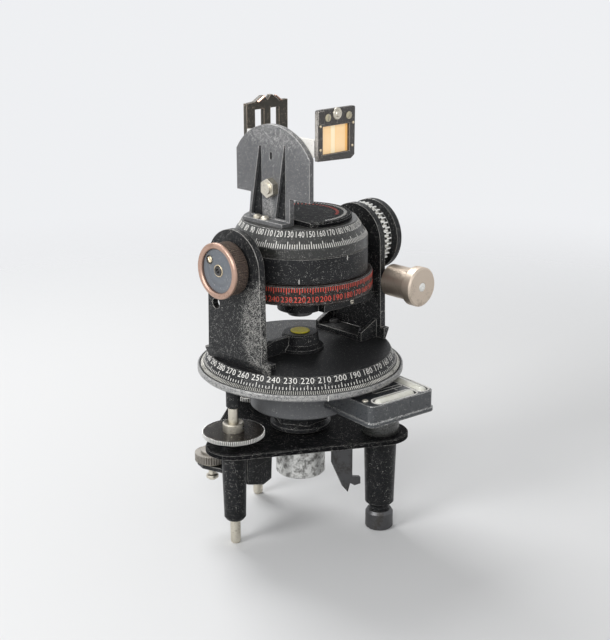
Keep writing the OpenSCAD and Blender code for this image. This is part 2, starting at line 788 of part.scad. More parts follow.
module sight_arm()
  color("#e9e6dc") difference() {
    slab_x(arm_x, sight_t) arm_outline();
    rod_x(arm_x - 1, arm_x + sight_t + 1, 3 + running, pivot_z);
  }

// Two windows under a crest whose points leave a notch between them
module notch_frame()
  color(dark_grey) slab_y(notch_y - 2.6, 2.6) difference() {
    polygon([
      [frame_x0, 187], [frame_x1 - 0.7, 187], [frame_x1 - 0.7, 208], [6.9, 208], [2.2, 211.4], [0.8, 211.4],
      [-1.4, 208.8], [-3.8, 211.4], [-5.4, 211.4], [-10.6, 208.5], [frame_x0, 208]
    ]);
    translate([-10.7, 191]) square([6.5, 13.4]);
    translate([0.6, 191]) square([6.3, 13.4]);
  }

module window() translate([-13.2, 186.9]) square([19.6, 14.4]);

module screen_frame()
  color(dark_grey) {
    slab_y(screen_y, 2.8) difference() {
      polygon([
        [frame_x0, 183.9], [7.6, 182.8], [screen_x1 - 0.3, 184.6], [screen_x1, 209.3],
        [screen_x1 - 0.7, 209.9], [frame_x0 + 0.7, 209.9], [frame_x0, 209.2]
      ]);
      window();
    }
    for (x = [-9.5, 5.7]) translate([x, screen_y, 205.5]) rotate([90, 0, 0]) slotted_head(1.9, 0.7);
    translate([-3, screen_y, 206.9]) rotate([90, 0, 0]) turned(2.6, 1.2, 0.4);
    for (x = [-14.9, 8.5], z = [189.7, 201.5])
      translate([x, screen_y, z]) rotate([90, 0, 0]) cylinder(h = 0.5, r = 0.7, $fn = 16);
  }

module sight_screen() color("#f0c98c") slab_y(screen_y + 1, 0.9) window();

base_plate();
slim_legs();
thick_leg();
foot_pins();
foot_ring();
base_spigot();
pivot_seat();
tie_spring();
clamp_bracket();
clamp_bolt();
clamp_washer();
clamp_nut();
locating_blade();
head_casting();
central_post();
tie_bolt();
pivot_stud();
screw_bosses();
azimuth_bush();
level_box();
level_vials();
level_cover_screws();
level_screw_front();
level_wheel_front();
level_screw_back();
level_wheel_back();
bearing_dial();
azimuth_spindle();
spindle_nut();
left_arm();
right_arm();
arm_bushes();
arm_screws();
centre_boss();
centre_disc();
worm_bracket();
worm_shaft();
worm_knob();
middle_band();
left_trunnion();
right_trunnion();
worm_wheel();
latitude_disc();
drum_strut();
hour_dial();
hour_ring();
drum_spindle();
crown_gear();
dial_cap();
declination_plate();
plate_screws();
pivot_nut();
knob_shaft();
hour_knob();
knob_rim();
knob_pinion();
sight_arm();
notch_frame();
screen_frame();
sight_screen();
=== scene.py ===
"""Looks of a levelled astrocompass: finishes, filled scales and small fittings round its CAD model."""

import json
import logging
import math
from dataclasses import dataclass
from enum import Enum
from typing import Sequence

import bpy
from mathutils import Matrix, Vector


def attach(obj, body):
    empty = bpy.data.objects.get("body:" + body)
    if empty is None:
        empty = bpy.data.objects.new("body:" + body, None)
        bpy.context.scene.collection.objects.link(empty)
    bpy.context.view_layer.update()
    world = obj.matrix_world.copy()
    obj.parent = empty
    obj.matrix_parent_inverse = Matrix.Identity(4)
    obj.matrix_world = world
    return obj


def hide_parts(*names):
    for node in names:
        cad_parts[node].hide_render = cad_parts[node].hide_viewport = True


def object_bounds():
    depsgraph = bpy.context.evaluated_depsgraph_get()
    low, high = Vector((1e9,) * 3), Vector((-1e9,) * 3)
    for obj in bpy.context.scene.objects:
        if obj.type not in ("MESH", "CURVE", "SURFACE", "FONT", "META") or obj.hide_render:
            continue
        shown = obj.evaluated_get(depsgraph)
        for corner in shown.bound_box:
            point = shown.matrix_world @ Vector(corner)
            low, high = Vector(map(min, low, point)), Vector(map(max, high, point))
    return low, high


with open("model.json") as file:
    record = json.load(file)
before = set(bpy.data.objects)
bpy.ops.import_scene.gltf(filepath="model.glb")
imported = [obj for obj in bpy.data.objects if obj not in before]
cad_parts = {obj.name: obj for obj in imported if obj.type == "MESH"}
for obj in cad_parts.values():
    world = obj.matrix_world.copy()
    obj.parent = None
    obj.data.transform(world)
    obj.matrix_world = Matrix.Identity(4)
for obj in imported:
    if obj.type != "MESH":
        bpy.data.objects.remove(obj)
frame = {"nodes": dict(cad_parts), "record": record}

CAD_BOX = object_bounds()
MM = 0.001
LOG = logging.getLogger("astrocompass")

Colour = tuple[float, float, float]
Point = tuple[float, float, float]
Pair = tuple[float, float]
Box = tuple[float, float, float, float]
Profile = Sequence[Pair]
Piece = bpy.types.Object
Socket = bpy.types.NodeSocket


class Lay(Enum):
    """The way a machined surface's fine lines run, as the stretch of their pattern along X, Y and Z."""

    NONE = (1.0, 1.0, 1.0)
    ROUND_Z = (0.15, 0.15, 6.0)
    ROUND_Y = (0.15, 6.0, 0.15)


class Body(Enum):
    """The moving bodies of the instrument."""

    HEAD = "head"
    FRONT_LEVELLER = "front_leveller"
    BACK_LEVELLER = "back_leveller"
    AZIMUTH = "azimuth"
    WORM = "worm"
    CRADLE = "cradle"
    DRUM = "drum"
    KNOB = "knob"
    SIGHT = "sight"


class Value:
    """A number socket on which Python's operators add Math nodes."""

    def __init__(self, tree: "Tree", socket: Socket) -> None:
        """Keeps the socket and the tree that it belongs to."""
        self.tree = tree
        self.socket = socket

    def _math(self, operation: str, *terms: "Value | float") -> "Value":
        """Adds one Math node.

        Args:
            operation: the node's operation.
            terms: its inputs in order.

        Returns:
            The node's result.
        """
        node = self.tree.node("ShaderNodeMath", {"operation": operation}, dict(enumerate(terms)))
        return Value(self.tree, node.outputs[0])

    def __add__(self, other: "Value | float") -> "Value":
        """self + other."""
        return self._math("ADD", self, other)

    def __sub__(self, other: "Value | float") -> "Value":
        """self - other."""
        return self._math("SUBTRACT", self, other)

    def __rsub__(self, other: float) -> "Value":
        """other - self."""
        return self._math("SUBTRACT", other, self)

    def __mul__(self, other: "Value | float") -> "Value":
        """self * other."""
        return self._math("MULTIPLY", self, other)

    __radd__ = __add__
    __rmul__ = __mul__

    def absolute(self) -> "Value":
        """The size of self without its sign."""
        return self._math("ABSOLUTE", self)

    def at_least(self, other: "Value | float") -> "Value":
        """The greater of self and other."""
        return self._math("MAXIMUM", self, other)

    def between(self, low: float, high: float) -> "Value":
        """Rises smoothly from 0 at low to 1 at high."""
        inputs = {"Value": self, "From Min": low, "From Max": high}
        node = self.tree.node("ShaderNodeMapRange", {"interpolation_type": "SMOOTHSTEP"}, inputs)
        return Value(self.tree, node.outputs["Result"])


class Tree:
    """The node tree of a material or of the world."""

    def __init__(self, owner: bpy.types.Material | bpy.types.World) -> None:
        """Empties the tree of its owner."""
        owner.use_nodes = True
        self.nodes = owner.node_tree.nodes
        self.links = owner.node_tree.links
        self.nodes.clear()

    def node(self, kind: str, settings: dict | None = None, inputs: dict | None = None) -> bpy.types.Node:
        """Makes any node.

        Args:
            kind: the node's type.
            settings: attributes that are set first.
            inputs: socket name or number to a value, a socket or a Value.

        Returns:
            The new node.
        """
        node = self.nodes.new(kind)
        for key, value in (settings or {}).items():
            setattr(node, key, value)
        for key, value in (inputs or {}).items():
            source = value.socket if isinstance(value, Value) else value
            if isinstance(source, Socket):
                self.links.new(source, node.inputs[key])
            else:
                node.inputs[key].default_value = source
        return node


class Shader(Tree):
    """The node tree of one material, on Object coordinates in millimetres."""

    EDGE = (0.004, 0.13)

    def __init__(self, name: str) -> None:
        """Makes a material of that name."""
        self.material = bpy.data.materials.new(name)
        super().__init__(self.material)
        self.place = self.node("ShaderNodeTexCoord").outputs["Object"]

    def noise(self, per_mm: float, detail: float = 3.0, stretch: Point = (1, 1, 1)) -> Value:
        """Cloudy noise from 0 to 1.

        Args:
            per_mm: how many blotches fit in a millimetre.
            detail: octaves.
            stretch: how much finer the pattern is along each axis.

        Returns:
            The noise.
        """
        scale = tuple(per_mm * s / MM for s in stretch)
        mapped = self.node("ShaderNodeMapping", None, {"Vector": self.place, "Scale": scale})
        inputs = {"Vector": mapped.outputs[0], "Scale": 1.0, "Detail": detail}
        return Value(self, self.node("ShaderNodeTexNoise", None, inputs).outputs["Fac"])

    def cells(self, per_mm: float) -> Value:
        """Distance to the nearest of scattered points, for grains and pits."""
        node = self.node("ShaderNodeTexVoronoi", None, {"Vector": self.place, "Scale": per_mm / MM})
        return Value(self, node.outputs["Distance"])

    def axis(self, index: int) -> Value:
        """One Object coordinate in millimetres, 0 for X to 2 for Z."""
        node = self.node("ShaderNodeSeparateXYZ", None, {0: self.place})
        return Value(self, node.outputs[index]) * (1.0 / MM)

    def distance(self, centre: Point, reach: Point) -> Value:
        """Distance from a centre, measured in units of a reach along each axis, both in millimetres."""
        scale = tuple(1.0 / (r * MM) for r in reach)
        shift = tuple(-c / r for c, r in zip(centre, reach))
        inputs = {"Vector": self.place, "Scale": scale, "Location": shift}
        return self.length(self.node("ShaderNodeMapping", None, inputs).outputs[0])

    def length(self, vector: Socket) -> Value:
        """The length of a vector."""
        node = self.node("ShaderNodeVectorMath", {"operation": "LENGTH"}, {0: vector})
        return Value(self, node.outputs["Value"])

    def rounded(self, radius_mm: float) -> Socket:
        """The normal as if sharp edges were rounded off."""
        return self.node("ShaderNodeBevel", {"samples": 6}, {"Radius": radius_mm * MM}).outputs[0]

    def edges(self, rounded: Socket) -> Value:
        """0 on flat ground, rising to 1 at a sharp edge, from the rounded normal."""
        true = self.node("ShaderNodeNewGeometry").outputs["Normal"]
        dot = self.node("ShaderNodeVectorMath", {"operation": "DOT_PRODUCT"}, {0: true, 1: rounded})
        return (1.0 - Value(self, dot.outputs["Value"])).between(*self.EDGE)

    def blend(self, factor: Value, first: Colour | Socket, second: Colour | Socket) -> Socket:
        """Mixes two colours by a factor from 0 to 1.

        Args:
            factor: how much of the second colour there is.
            first: a colour or a socket.
            second: a colour or a socket.

        Returns:
            The mixed colour.
        """
        ends = [(*c, 1.0) if isinstance(c, tuple) else c for c in (first, second)]
        node = self.node("ShaderNodeMix", {"data_type": "RGBA"}, {0: factor, 6: ends[0], 7: ends[1]})
        return node.outputs[2]

    def bump(self, height: Value, depth_mm: float, under: Socket | None = None) -> Socket:
        """A Bump node of a depth in millimetres, over another normal if one is given."""
        inputs = {"Height": height, "Distance": depth_mm * MM, "Strength": 1.0}
        if under is not None:
            inputs["Normal"] = under
        return self.node("ShaderNodeBump", None, inputs).outputs[0]


@dataclass(frozen=True)
class Patch:
    """A place where a finish is more worn: an ellipsoid, in millimetres."""

    centre: Point
    reach: Point
    gain: float
    fade: float = 0.4

    def mask(self, s: Shader) -> Value:
        """The gain in the middle of the patch, fading to 0 at its rim."""
        return (1.0 - s.distance(self.centre, self.reach)).between(0.0, self.fade) * self.gain


@dataclass(frozen=True)
class Rim:
    """Wear outside a radius round an upright axis, in millimetres."""

    centre: Pair
    radius: float
    gain: float
    blur: float = 0.25
    far: float = 1.0e5

    def mask(self, s: Shader) -> Value:
        """The gain beyond the radius and 0 within it."""
        away = s.distance((*self.centre, 0.0), (self.radius, self.radius, self.far))
        soft = self.blur / self.radius
        return away.between(1.0 - soft, 1.0 + soft) * self.gain


@dataclass(frozen=True)
class Recipe:
    """A finish: the record's slot that it belongs to, its main colour and how it feeds the shader."""

    slot: str
    colour: Colour

    def sockets(self, s: Shader) -> dict:
        """What each socket of the Principled shader gets, with the nodes made in the shader s."""
        raise NotImplementedError

    def material(self, name: str) -> bpy.types.Material:
        """Builds the finish as a material that ends with one Principled shader."""
        s = Shader(name)
        surface = s.node("ShaderNodeBsdfPrincipled", None, self.sockets(s))
        s.node("ShaderNodeOutputMaterial", None, {"Surface": surface.outputs[0]})
        return s.material


@dataclass(frozen=True)
class Paint(Recipe):
    """Stoved instrument paint: grained, rubbed dull, flecked, and chipped to metal along its edges."""

    RUB = (0.44, 0.78)
    FLECK = (0.735, 0.765)
    CHIP_LOW = 0.97
    CHIP_RANGE = 0.08
    CHIP_BY_WEAR = 0.25

    rubbed: Colour
    bare: Colour = (0.5, 0.49, 0.46)
    roughness: float = 0.36
    grain_per_mm: float = 3.0
    grain_mm: float = 0.02
    edge_mm: float = 0.5
    edge_wear: float = 0.5
    flecked: float = 0.0
    gloss: float = 0.25
    worn_at: tuple[Patch | Rim, ...] = ()

    def sockets(self, s: Shader) -> dict:
        """See Recipe."""
        cloud = s.noise(0.05, 4.0)
        fine = s.noise(1.3, 5.0)
        grain = s.cells(self.grain_per_mm)
        rounded = s.rounded(self.edge_mm)
        edge = s.edges(rounded)
        local = cloud * 0.3 + self.flecked
        for place in self.worn_at:
            local = local + place.mask(s)
        rub = (cloud * 0.6 + fine * 0.4).between(*self.RUB)
        chip = self.CHIP_LOW - self.edge_wear * self.CHIP_BY_WEAR
        chipped = (edge * 0.5 + fine).between(chip, chip + self.CHIP_RANGE)
        specks = s.noise(2.6, 1.0) * 0.8 + s.noise(0.5, 3.0) * 0.3
        flecks = (specks + local * 0.2).between(*self.FLECK)
        worn = chipped.at_least(flecks)
        painted = s.blend(rub * 0.8, self.colour, self.rubbed)
        height = grain * 0.6 + fine * 0.3 - worn * 0.8
        return {
            "Base Color": s.blend(worn, painted, self.bare),
            "Metallic": worn * 0.6,
            "Roughness": self.roughness + fine * 0.2 + rub * 0.08 - worn * 0.06,
            "Specular IOR Level": self.gloss,
            "Normal": s.bump(height, self.grain_mm, rounded),
        }


@dataclass(frozen=True)
class Metal(Recipe):
    """Bare or plated metal: turning lines, stains that darken it and edges polished by handling."""

    stain: Colour
    roughness: float = 0.32
    lay: Lay = Lay.NONE
    stained: float = 0.5
    line_mm: float = 0.012
    blotch_per_mm: float = 0.13

    def sockets(self, s: Shader) -> dict:
        """See Recipe."""
        lines = s.noise(1.6, 3.0, self.lay.value)
        cloud = s.noise(self.blotch_per_mm, 5.0)
        spots = s.noise(0.9, 4.0)
        rounded = s.rounded(0.35)
        edge = s.edges(rounded)
        clouds = cloud * 0.65 + spots * 0.35 - edge * 0.18
        stain = clouds.between(0.64 - self.stained * 0.3, 0.8 - self.stained * 0.2)
        bright = tuple(min(1.0, c * 1.3) for c in self.colour)
        base = s.blend(edge * 0.7, self.colour, bright)
        return {
            "Base Color": s.blend(stain * 0.8, base, self.stain),
            "Metallic": 1.0 - stain * 0.4,
            "Roughness": self.roughness + lines * 0.16 + stain * 0.22 - edge * 0.08,
            "Normal": s.bump(lines * 0.8 + spots * 0.4, self.line_mm, rounded),
        }


@dataclass(frozen=True)
class ScaleFill(Recipe):
    """The paint rubbed into engraved lines and figures, a little dirty and uneven."""

    dirt: Colour

    def sockets(self, s: Shader) -> dict:
        """See Recipe."""
        patch = s.noise(0.45, 4.0).between(0.5, 0.75)
        return {
            "Base Color": s.blend(patch * 0.6, self.colour, self.dirt),
            "Roughness": 0.55 + patch * 0.2,
            "Normal": s.bump(s.noise(3.0), 0.02),
        }


@dataclass(frozen=True)
class Screen(Recipe):
    """The translucent amber screen of the sight, with a paler strip between two lines down it; its emission
    is a painted glow for the light through it.
    """

    rim: Colour
    pale: Colour
    line_x: Pair = (-6.1, -2.4)
    line_half: float = 0.45
    rim_x: float = 4.9

    def sockets(self, s: Shader) -> dict:
        """See Recipe."""
        x = s.axis(0)
        cloud = s.noise(0.12, 3.0)
        first, second = self.line_x
        beside = [(x - at).absolute().between(self.line_half * 0.4, self.line_half) for at in self.line_x]
        lines = (1.0 - beside[0]).at_least(1.0 - beside[1])
        strip = x.between(first - 0.2, first + 0.6) * (1.0 - x.between(second - 0.6, second + 0.2))
        edge = x.between(self.rim_x - 0.5, self.rim_x + 0.3)
        warm = s.blend(cloud * 0.5 + edge, self.colour, self.rim)
        tint = s.blend(lines * 0.35, s.blend(strip * (0.4 + cloud * 0.6), warm, self.pale), self.rim)
        return {
            "Base Color": tint,
            "Roughness": 0.3 + cloud * 0.2,
            # Painted light: the emission makes the screen glow, standing in for daylight shining through it
            "Emission Color": tint,
            "Emission Strength": 0.5,
            "Normal": s.bump(s.noise(1.5), 0.01),
        }


@dataclass(frozen=True)
class VialGlass(Recipe):
    """The glass of a level vial over its pale spirit and white backing."""

    clear: Colour

    def sockets(self, s: Shader) -> dict:
        """See Recipe."""
        haze = s.noise(0.3, 3.0)
        return {
            "Base Color": s.blend(haze.between(0.35, 0.7), self.colour, self.clear),
            "Roughness": 0.06 + haze * 0.08,
            "Coat Weight": 0.4 + haze * 0.4,
            "Coat Roughness": 0.03,
            "Normal": s.bump(s.noise(0.6), 0.01),
        }


@dataclass(frozen=True)
class Ground(Recipe):
    """The pale studio floor, which fades into the backdrop away from the object."""

    near_mm: float = 260.0
    far_mm: float = 850.0

    def material(self, name: str) -> bpy.types.Material:
        """Builds the floor's material, which turns clear with the distance from the middle."""
        s = Shader(name)
        flat = s.node("ShaderNodeVectorMath", {"operation": "MULTIPLY"}, {0: s.place, 1: (1, 1, 0)})
        away = (s.length(flat.outputs[0]) * (1.0 / MM)).between(self.near_mm, self.far_mm)
        matt = {"Base Color": (*self.colour, 1.0), "Roughness": 0.85, "Specular IOR Level": 0.1}
        paper = s.node("ShaderNodeBsdfPrincipled", None, matt)
        clear = s.node("ShaderNodeBsdfTransparent")
        mixed = s.node("ShaderNodeMixShader", None, {0: away, 1: paper.outputs[0], 2: clear.outputs[0]})
        s.node("ShaderNodeOutputMaterial", None, {"Surface": mixed.outputs[0]})
        return s.material


JET = (0.0115, 0.012, 0.013)
DULL_JET = (0.036, 0.037, 0.04)


class Finish(Enum):
    """The finishes. The first of each slot is the one that its other CAD nodes get."""

    BLACK = Paint("black_paint", JET, DULL_JET)
    GREY = Paint("grey_paint", (0.07, 0.073, 0.078), (0.14, 0.14, 0.145), flecked=0.15)
    WHITE = Paint("white_paint", (0.9, 0.89, 0.86), (0.8, 0.77, 0.7), edge_wear=0.1)
    YELLOW = Paint("yellow_paint", (1.0, 0.86, 0.05), (0.95, 0.78, 0.04), edge_wear=0.1)
    NICKEL = Metal("nickel", (0.66, 0.62, 0.53), (0.22, 0.19, 0.14), 0.3, Lay.ROUND_Z)
    ALUMINIUM = Metal(
        "aluminium", (0.78, 0.78, 0.76), (0.1, 0.095, 0.085), 0.42, Lay.ROUND_Z, 0.75, 0.03, 0.3,
    )
    STEEL = Metal("steel", (0.11, 0.11, 0.113), (0.045, 0.04, 0.035), 0.36, Lay.ROUND_Z, 0.6)
    BRONZE = Metal("bronze", (0.42, 0.28, 0.13), (0.14, 0.09, 0.05), 0.35)
    COPPER = Metal("copper", (0.62, 0.53, 0.44), (0.3, 0.24, 0.19), 0.42, Lay.ROUND_Y, 0.4, 0.03, 0.12)
    BROWN = Paint(
        "brown_lacquer", (0.055, 0.042, 0.036), (0.12, 0.09, 0.075), (0.42, 0.32, 0.25), flecked=0.1,
    )
    CREAM = Paint("cream_plastic", (0.68, 0.62, 0.45), (0.5, 0.44, 0.3), edge_wear=0.1)
    GLASS = VialGlass("vial_glass", (0.8, 0.8, 0.7), (0.88, 0.87, 0.8))
    AMBER = Screen("amber_screen", (0.93, 0.7, 0.43), (0.88, 0.5, 0.17), (0.95, 0.86, 0.62))
    CASTING = Paint(
        "grey_paint", (0.13, 0.134, 0.14), (0.19, 0.193, 0.2), (0.45, 0.445, 0.43), 0.34, edge_wear=0.8,
        worn_at=(Rim((0.0, 0.0), 56.6, 1.0),),
    )
    LEFT_ARM = Paint(
        "black_paint", JET, DULL_JET, edge_wear=0.8, flecked=0.1,
        worn_at=(Patch((-48.4, -25.0, 98.0), (7.0, 24.0, 36.0), 0.48),),
    )
    ARM = Paint("black_paint", JET, DULL_JET, edge_wear=0.8, flecked=0.1)
    PLATE = Paint(
        "grey_paint", (0.125, 0.127, 0.132), (0.21, 0.211, 0.215), (0.62, 0.61, 0.59), edge_wear=1.3,
        flecked=0.1,
        worn_at=(
            Patch((-18.5, 0.0, 198.5), (9.0, 38.0, 17.0), 0.44, 0.6),
            Patch((-20.0, 3.0, 156.0), (4.0, 6.0, 7.0), 0.5),
        ),
    )
    GLOSSY = Paint(
        "black_paint", (0.01, 0.0105, 0.0115), (0.022, 0.023, 0.025), roughness=0.2, edge_wear=0.35,
        gloss=0.15,
    )
    DRUM = Paint("black_paint", (0.011, 0.0115, 0.0125), (0.036, 0.036, 0.039))
    # Partly painted highlight: the rubbed tone is lightened to stand in for the glossy highlights on the
    # bevel
    BEVEL = Paint("black_paint", (0.02, 0.0203, 0.019), (0.05, 0.05, 0.045), roughness=0.22, gloss=0.55)
    RING = Paint(
        "black_paint", (0.022, 0.016, 0.014), (0.045, 0.034, 0.03), (0.7, 0.69, 0.66), edge_wear=1.0,
    )
    WHEEL_BLACK = Paint(
        "black_paint", (0.013, 0.0105, 0.009), (0.03, 0.024, 0.02), (0.74, 0.7, 0.6), 0.24, edge_wear=0.4,
        gloss=0.12,
    )
    # Partly painted reflection: real dark grey paint, lightened to stand in for the sheen of light reflected
    # off the box
    LEVEL_BOX = Paint(
        "black_paint", (0.036, 0.04, 0.045), (0.055, 0.06, 0.066), (0.6, 0.6, 0.58), 0.2, edge_mm=1.3,
        edge_wear=0.2, gloss=0.8,
    )
    MATT = Paint("black_paint", (0.006, 0.0063, 0.007), (0.013, 0.0135, 0.015), roughness=0.45, gloss=0.03)
    SCREEN_FRAME = Paint(
        "grey_paint", (0.085, 0.082, 0.08), (0.14, 0.125, 0.112), (0.5, 0.47, 0.43), edge_wear=0.9,
        worn_at=(Patch((-16.9, -29.4, 197.0), (0.5, 3.0, 24.0), 1.3),),
    )
    SEAT = Paint("black_paint", (0.045, 0.047, 0.044), (0.08, 0.08, 0.073), roughness=0.18, gloss=0.7)
    CLAMP = Metal("copper", (0.33, 0.31, 0.28), (0.11, 0.09, 0.075), 0.36, Lay.NONE, 0.6)
    SLATE = Paint("grey_paint", (0.15, 0.165, 0.185), (0.22, 0.23, 0.245))
    OLIVE = Paint("grey_paint", (0.06, 0.057, 0.048), (0.105, 0.096, 0.08), (0.6, 0.5, 0.4), edge_wear=0.8)
    BRIGHT = Metal("nickel", (0.82, 0.81, 0.77), (0.4, 0.38, 0.34), 0.26, Lay.NONE, 0.25)
    RIBS = Metal("nickel", (0.5, 0.49, 0.45), (0.12, 0.115, 0.1), 0.38, Lay.NONE, 0.6)
    PINK_RIM = Metal("copper", (0.52, 0.35, 0.275), (0.17, 0.1, 0.07), 0.32, Lay.NONE, 0.55)
    BRASS = Metal("bronze", (0.72, 0.62, 0.45), (0.3, 0.23, 0.13), 0.3, Lay.NONE, 0.4)
    FIGURES = ScaleFill("white_paint", (0.84, 0.83, 0.79), (0.5, 0.49, 0.45))
    RED_FIGURES = ScaleFill("white_paint", (0.72, 0.08, 0.05), (0.42, 0.06, 0.04))
    FLOOR = Ground("stage", (0.74, 0.745, 0.75))


NODE_FINISH = {
    "head_casting": Finish.CASTING,
    "left_arm": Finish.LEFT_ARM,
    "right_arm": Finish.ARM,
    "declination_plate": Finish.PLATE,
    "base_plate": Finish.MATT,
    "dial_cap": Finish.MATT,
    "level_box": Finish.LEVEL_BOX,
    "slim_legs": Finish.GLOSSY,
    "thick_leg": Finish.GLOSSY,
    "middle_band": Finish.DRUM,
    "hour_dial": Finish.BEVEL,
    "hour_ring": Finish.RING,
    "worm_wheel": Finish.BRIGHT,
    "knob_rim": Finish.PINK_RIM,
    "notch_frame": Finish.OLIVE,
    "pivot_seat": Finish.SEAT,
    "clamp_nut": Finish.CLAMP,
}


def seat(at: Point, out: Point, up: Point = (0.0, 0.0, 1.0)) -> Matrix:
    """The place of a fitting on a surface.

    Args:
        at: the point of the surface, in millimetres.
        out: the way out of the surface, which the fitting's Z takes.
        up: the way that the fitting's Y takes.

    Returns:
        The matrix that moves the fitting from the origin, in metres.
    """
    z = Vector(out).normalized()
    x = Vector(up).cross(z).normalized()
    turn = Matrix((x, z.cross(x), z)).transposed()
    return Matrix.Translation(Vector(at) * MM) @ turn.to_4x4()


def on_cone(degrees: float, radius: float, height: float, rise: Pair = (0.0, 1.0)) -> Matrix:
    """A place on a turned surface round Z.

    Args:
        degrees: the angle from +X.
        radius: the distance from the axis, in millimetres.
        height: the height, in millimetres.
        rise: the way up the surface, as its parts outwards and upwards.

    Returns:
        The matrix that moves a fitting there, with its Y up the surface and its Z out of it.
    """
    x, y = math.cos(math.radians(degrees)), math.sin(math.radians(degrees))
    up, out = rise
    return seat((radius * x, radius * y, height), (out * x, out * y, -up), (up * x, up * y, out))


class Bench:
    """Blender's modelling tools, in millimetres: a primitive, then its edit mode, then its modifiers."""

    MERGE = 0.001
    SHARP = math.radians(35)
    BEVELLED = math.radians(40)

    def clear(self) -> None:
        """Leaves edit mode and deselects everything."""
        if bpy.context.object and bpy.context.object.mode != "OBJECT":
            bpy.ops.object.mode_set(mode="OBJECT")
        bpy.ops.object.select_all(action="DESELECT")

    def only(self, piece: Piece) -> None:
        """Selects one piece and makes it the active one."""
        self.clear()
        piece.select_set(True)
        bpy.context.view_layer.objects.active = piece

    def edit(self) -> Piece:
        """Enters edit mode on the active piece with all of it selected."""
        bpy.ops.object.mode_set(mode="EDIT")
        bpy.ops.mesh.select_all(action="SELECT")
        return bpy.context.object

    def extrude(self, step: Sequence[float]) -> None:
        """Extrudes what is selected."""
        value = [c * MM for c in step]
        bpy.ops.mesh.extrude_region_move(TRANSFORM_OT_translate={"value": value})

    def trace(self, points: Sequence[Point]) -> Piece:
        """A new object of a line through points, in edit mode with the whole line selected."""
        self.clear()
        bpy.ops.mesh.primitive_plane_add(size=MM)
        piece = self.edit()
        bpy.ops.mesh.merge(type="CENTER")
        bpy.ops.transform.translate(value=tuple(c * MM for c in points[0]))
        for start, end in zip(points, points[1:]):
            self.extrude([b - a for a, b in zip(start, end)])
        bpy.ops.mesh.select_all(action="SELECT")
        return piece

    def smooth(self, piece: Piece) -> Piece:
        """Shades a piece smooth but for its sharp corners."""
        self.only(piece)
        bpy.ops.object.shade_smooth_by_angle(angle=self.SHARP)
        return piece

    def tidy(self, piece: Piece, name: str) -> Piece:
        """Merges doubles, turns the faces outwards, leaves edit mode and names the piece."""
        bpy.ops.mesh.select_all(action="SELECT")
        bpy.ops.mesh.remove_doubles(threshold=self.MERGE * MM)
        bpy.ops.mesh.normals_make_consistent(inside=False)
        bpy.ops.object.mode_set(mode="OBJECT")
        piece.name = piece.data.name = name
        return piece

    def lathe(self, name: str, profile: Profile, sides: int = 32) -> Piece:
        """Turns a shape round Z.

        Args:
            name: the piece's name.
            profile: (radius, height) points, closed or ending on the axis.
            sides: how many steps the turn has.

        Returns:
            The piece, smooth but for its sharp corners.
        """
        piece = self.trace([(r, 0.0, z) for r, z in profile])
        bpy.ops.mesh.spin(steps=sides, angle=2 * math.pi, center=(0, 0, 0), axis=(0, 0, 1))
        return self.smooth(self.tidy(piece, name))

    def block(self, name: str, low: Point, high: Point, bevel: float) -> Piece:
        """A block between two corners with all its edges bevelled."""
        self.clear()
        middle = [(a + b) / 2 * MM for a, b in zip(low, high)]
        bpy.ops.mesh.primitive_cube_add(size=MM, location=(0, 0, 0))
        piece = self.edit()
        bpy.ops.transform.resize(value=tuple(b - a for a, b in zip(low, high)))
        bpy.ops.transform.translate(value=middle)
        bpy.ops.mesh.bevel(offset=bevel * MM, segments=1, affect="EDGES")
        return self.tidy(piece, name)

    def plate(self, name: str, outline: Profile, thickness: float, bevel: float) -> Piece:
        """A flat plate in the XY plane that stands on z = 0.

        Args:
            name: the piece's name.
            outline: its corners in order.
            thickness: its height along Z.
            bevel: the width of the bevel round its two faces.

        Returns:
            The piece.
        """
        piece = self.trace([(x, y, 0.0) for x, y in outline])
        bpy.ops.mesh.edge_face_add()
        self.extrude((0, 0, thickness))
        self.tidy(piece, name)
        settings = {"width": bevel * MM, "segments": 2, "limit_method": "ANGLE", "angle_limit": self.BEVELLED}
        return self.smooth(self.modify(piece, "BEVEL", settings))

    def modify(self, piece: Piece, kind: str, settings: dict) -> Piece:
        """Applies a modifier with the given settings to a piece."""
        modifier = piece.modifiers.new("shaping", kind)
        for key, value in settings.items():
            setattr(modifier, key, value)
        self.only(piece)
        bpy.ops.object.modifier_apply(modifier=modifier.name)
        return piece

    def stadium_ring(self, name: str, length: float, radius: float, wall: float, height: float) -> Piece:
        """A raised outline with round ends, lying along X round the origin on z = 0.

        Args:
            name: the piece's name.
            length: its straight length between the centres of its ends.
            radius: the inner radius of its ends.
            wall: how wide the outline is.
            height: how far it stands up.

        Returns:
            The piece.
        """
        self.clear()
        bpy.ops.mesh.primitive_circle_add(vertices=24, radius=(radius + wall) * MM, fill_type="NGON")
        piece = bpy.context.object
        # A selected face would take all its vertices into edit mode's selection
        for part in (*piece.data.polygons, *piece.data.edges):
            part.select = False
        for vertex in piece.data.vertices:
            vertex.select = vertex.co.x > 0
        bpy.ops.object.mode_set(mode="EDIT")
        bpy.ops.mesh.select_mode(type="VERT")
        bpy.ops.transform.translate(value=(length / 2 * MM, 0, 0))
        bpy.ops.mesh.select_all(action="INVERT")
        bpy.ops.transform.translate(value=(-length / 2 * MM, 0, 0))
        bpy.ops.mesh.select_all(action="SELECT")
        bpy.ops.mesh.inset(thickness=wall * MM, depth=0.0)
        bpy.ops.mesh.delete(type="FACE")
        bpy.ops.mesh.select_all(action="SELECT")
        self.extrude((0, 0, height))
        return self.tidy(piece, name)

    def cut(self, piece: Piece, cutter: Piece) -> Piece:
        """Takes one piece away from another and discards the cutter."""
        self.modify(piece, "BOOLEAN", {"operation": "DIFFERENCE", "solver": "EXACT", "object": cutter})
        bpy.data.objects.remove(cutter)
        return piece

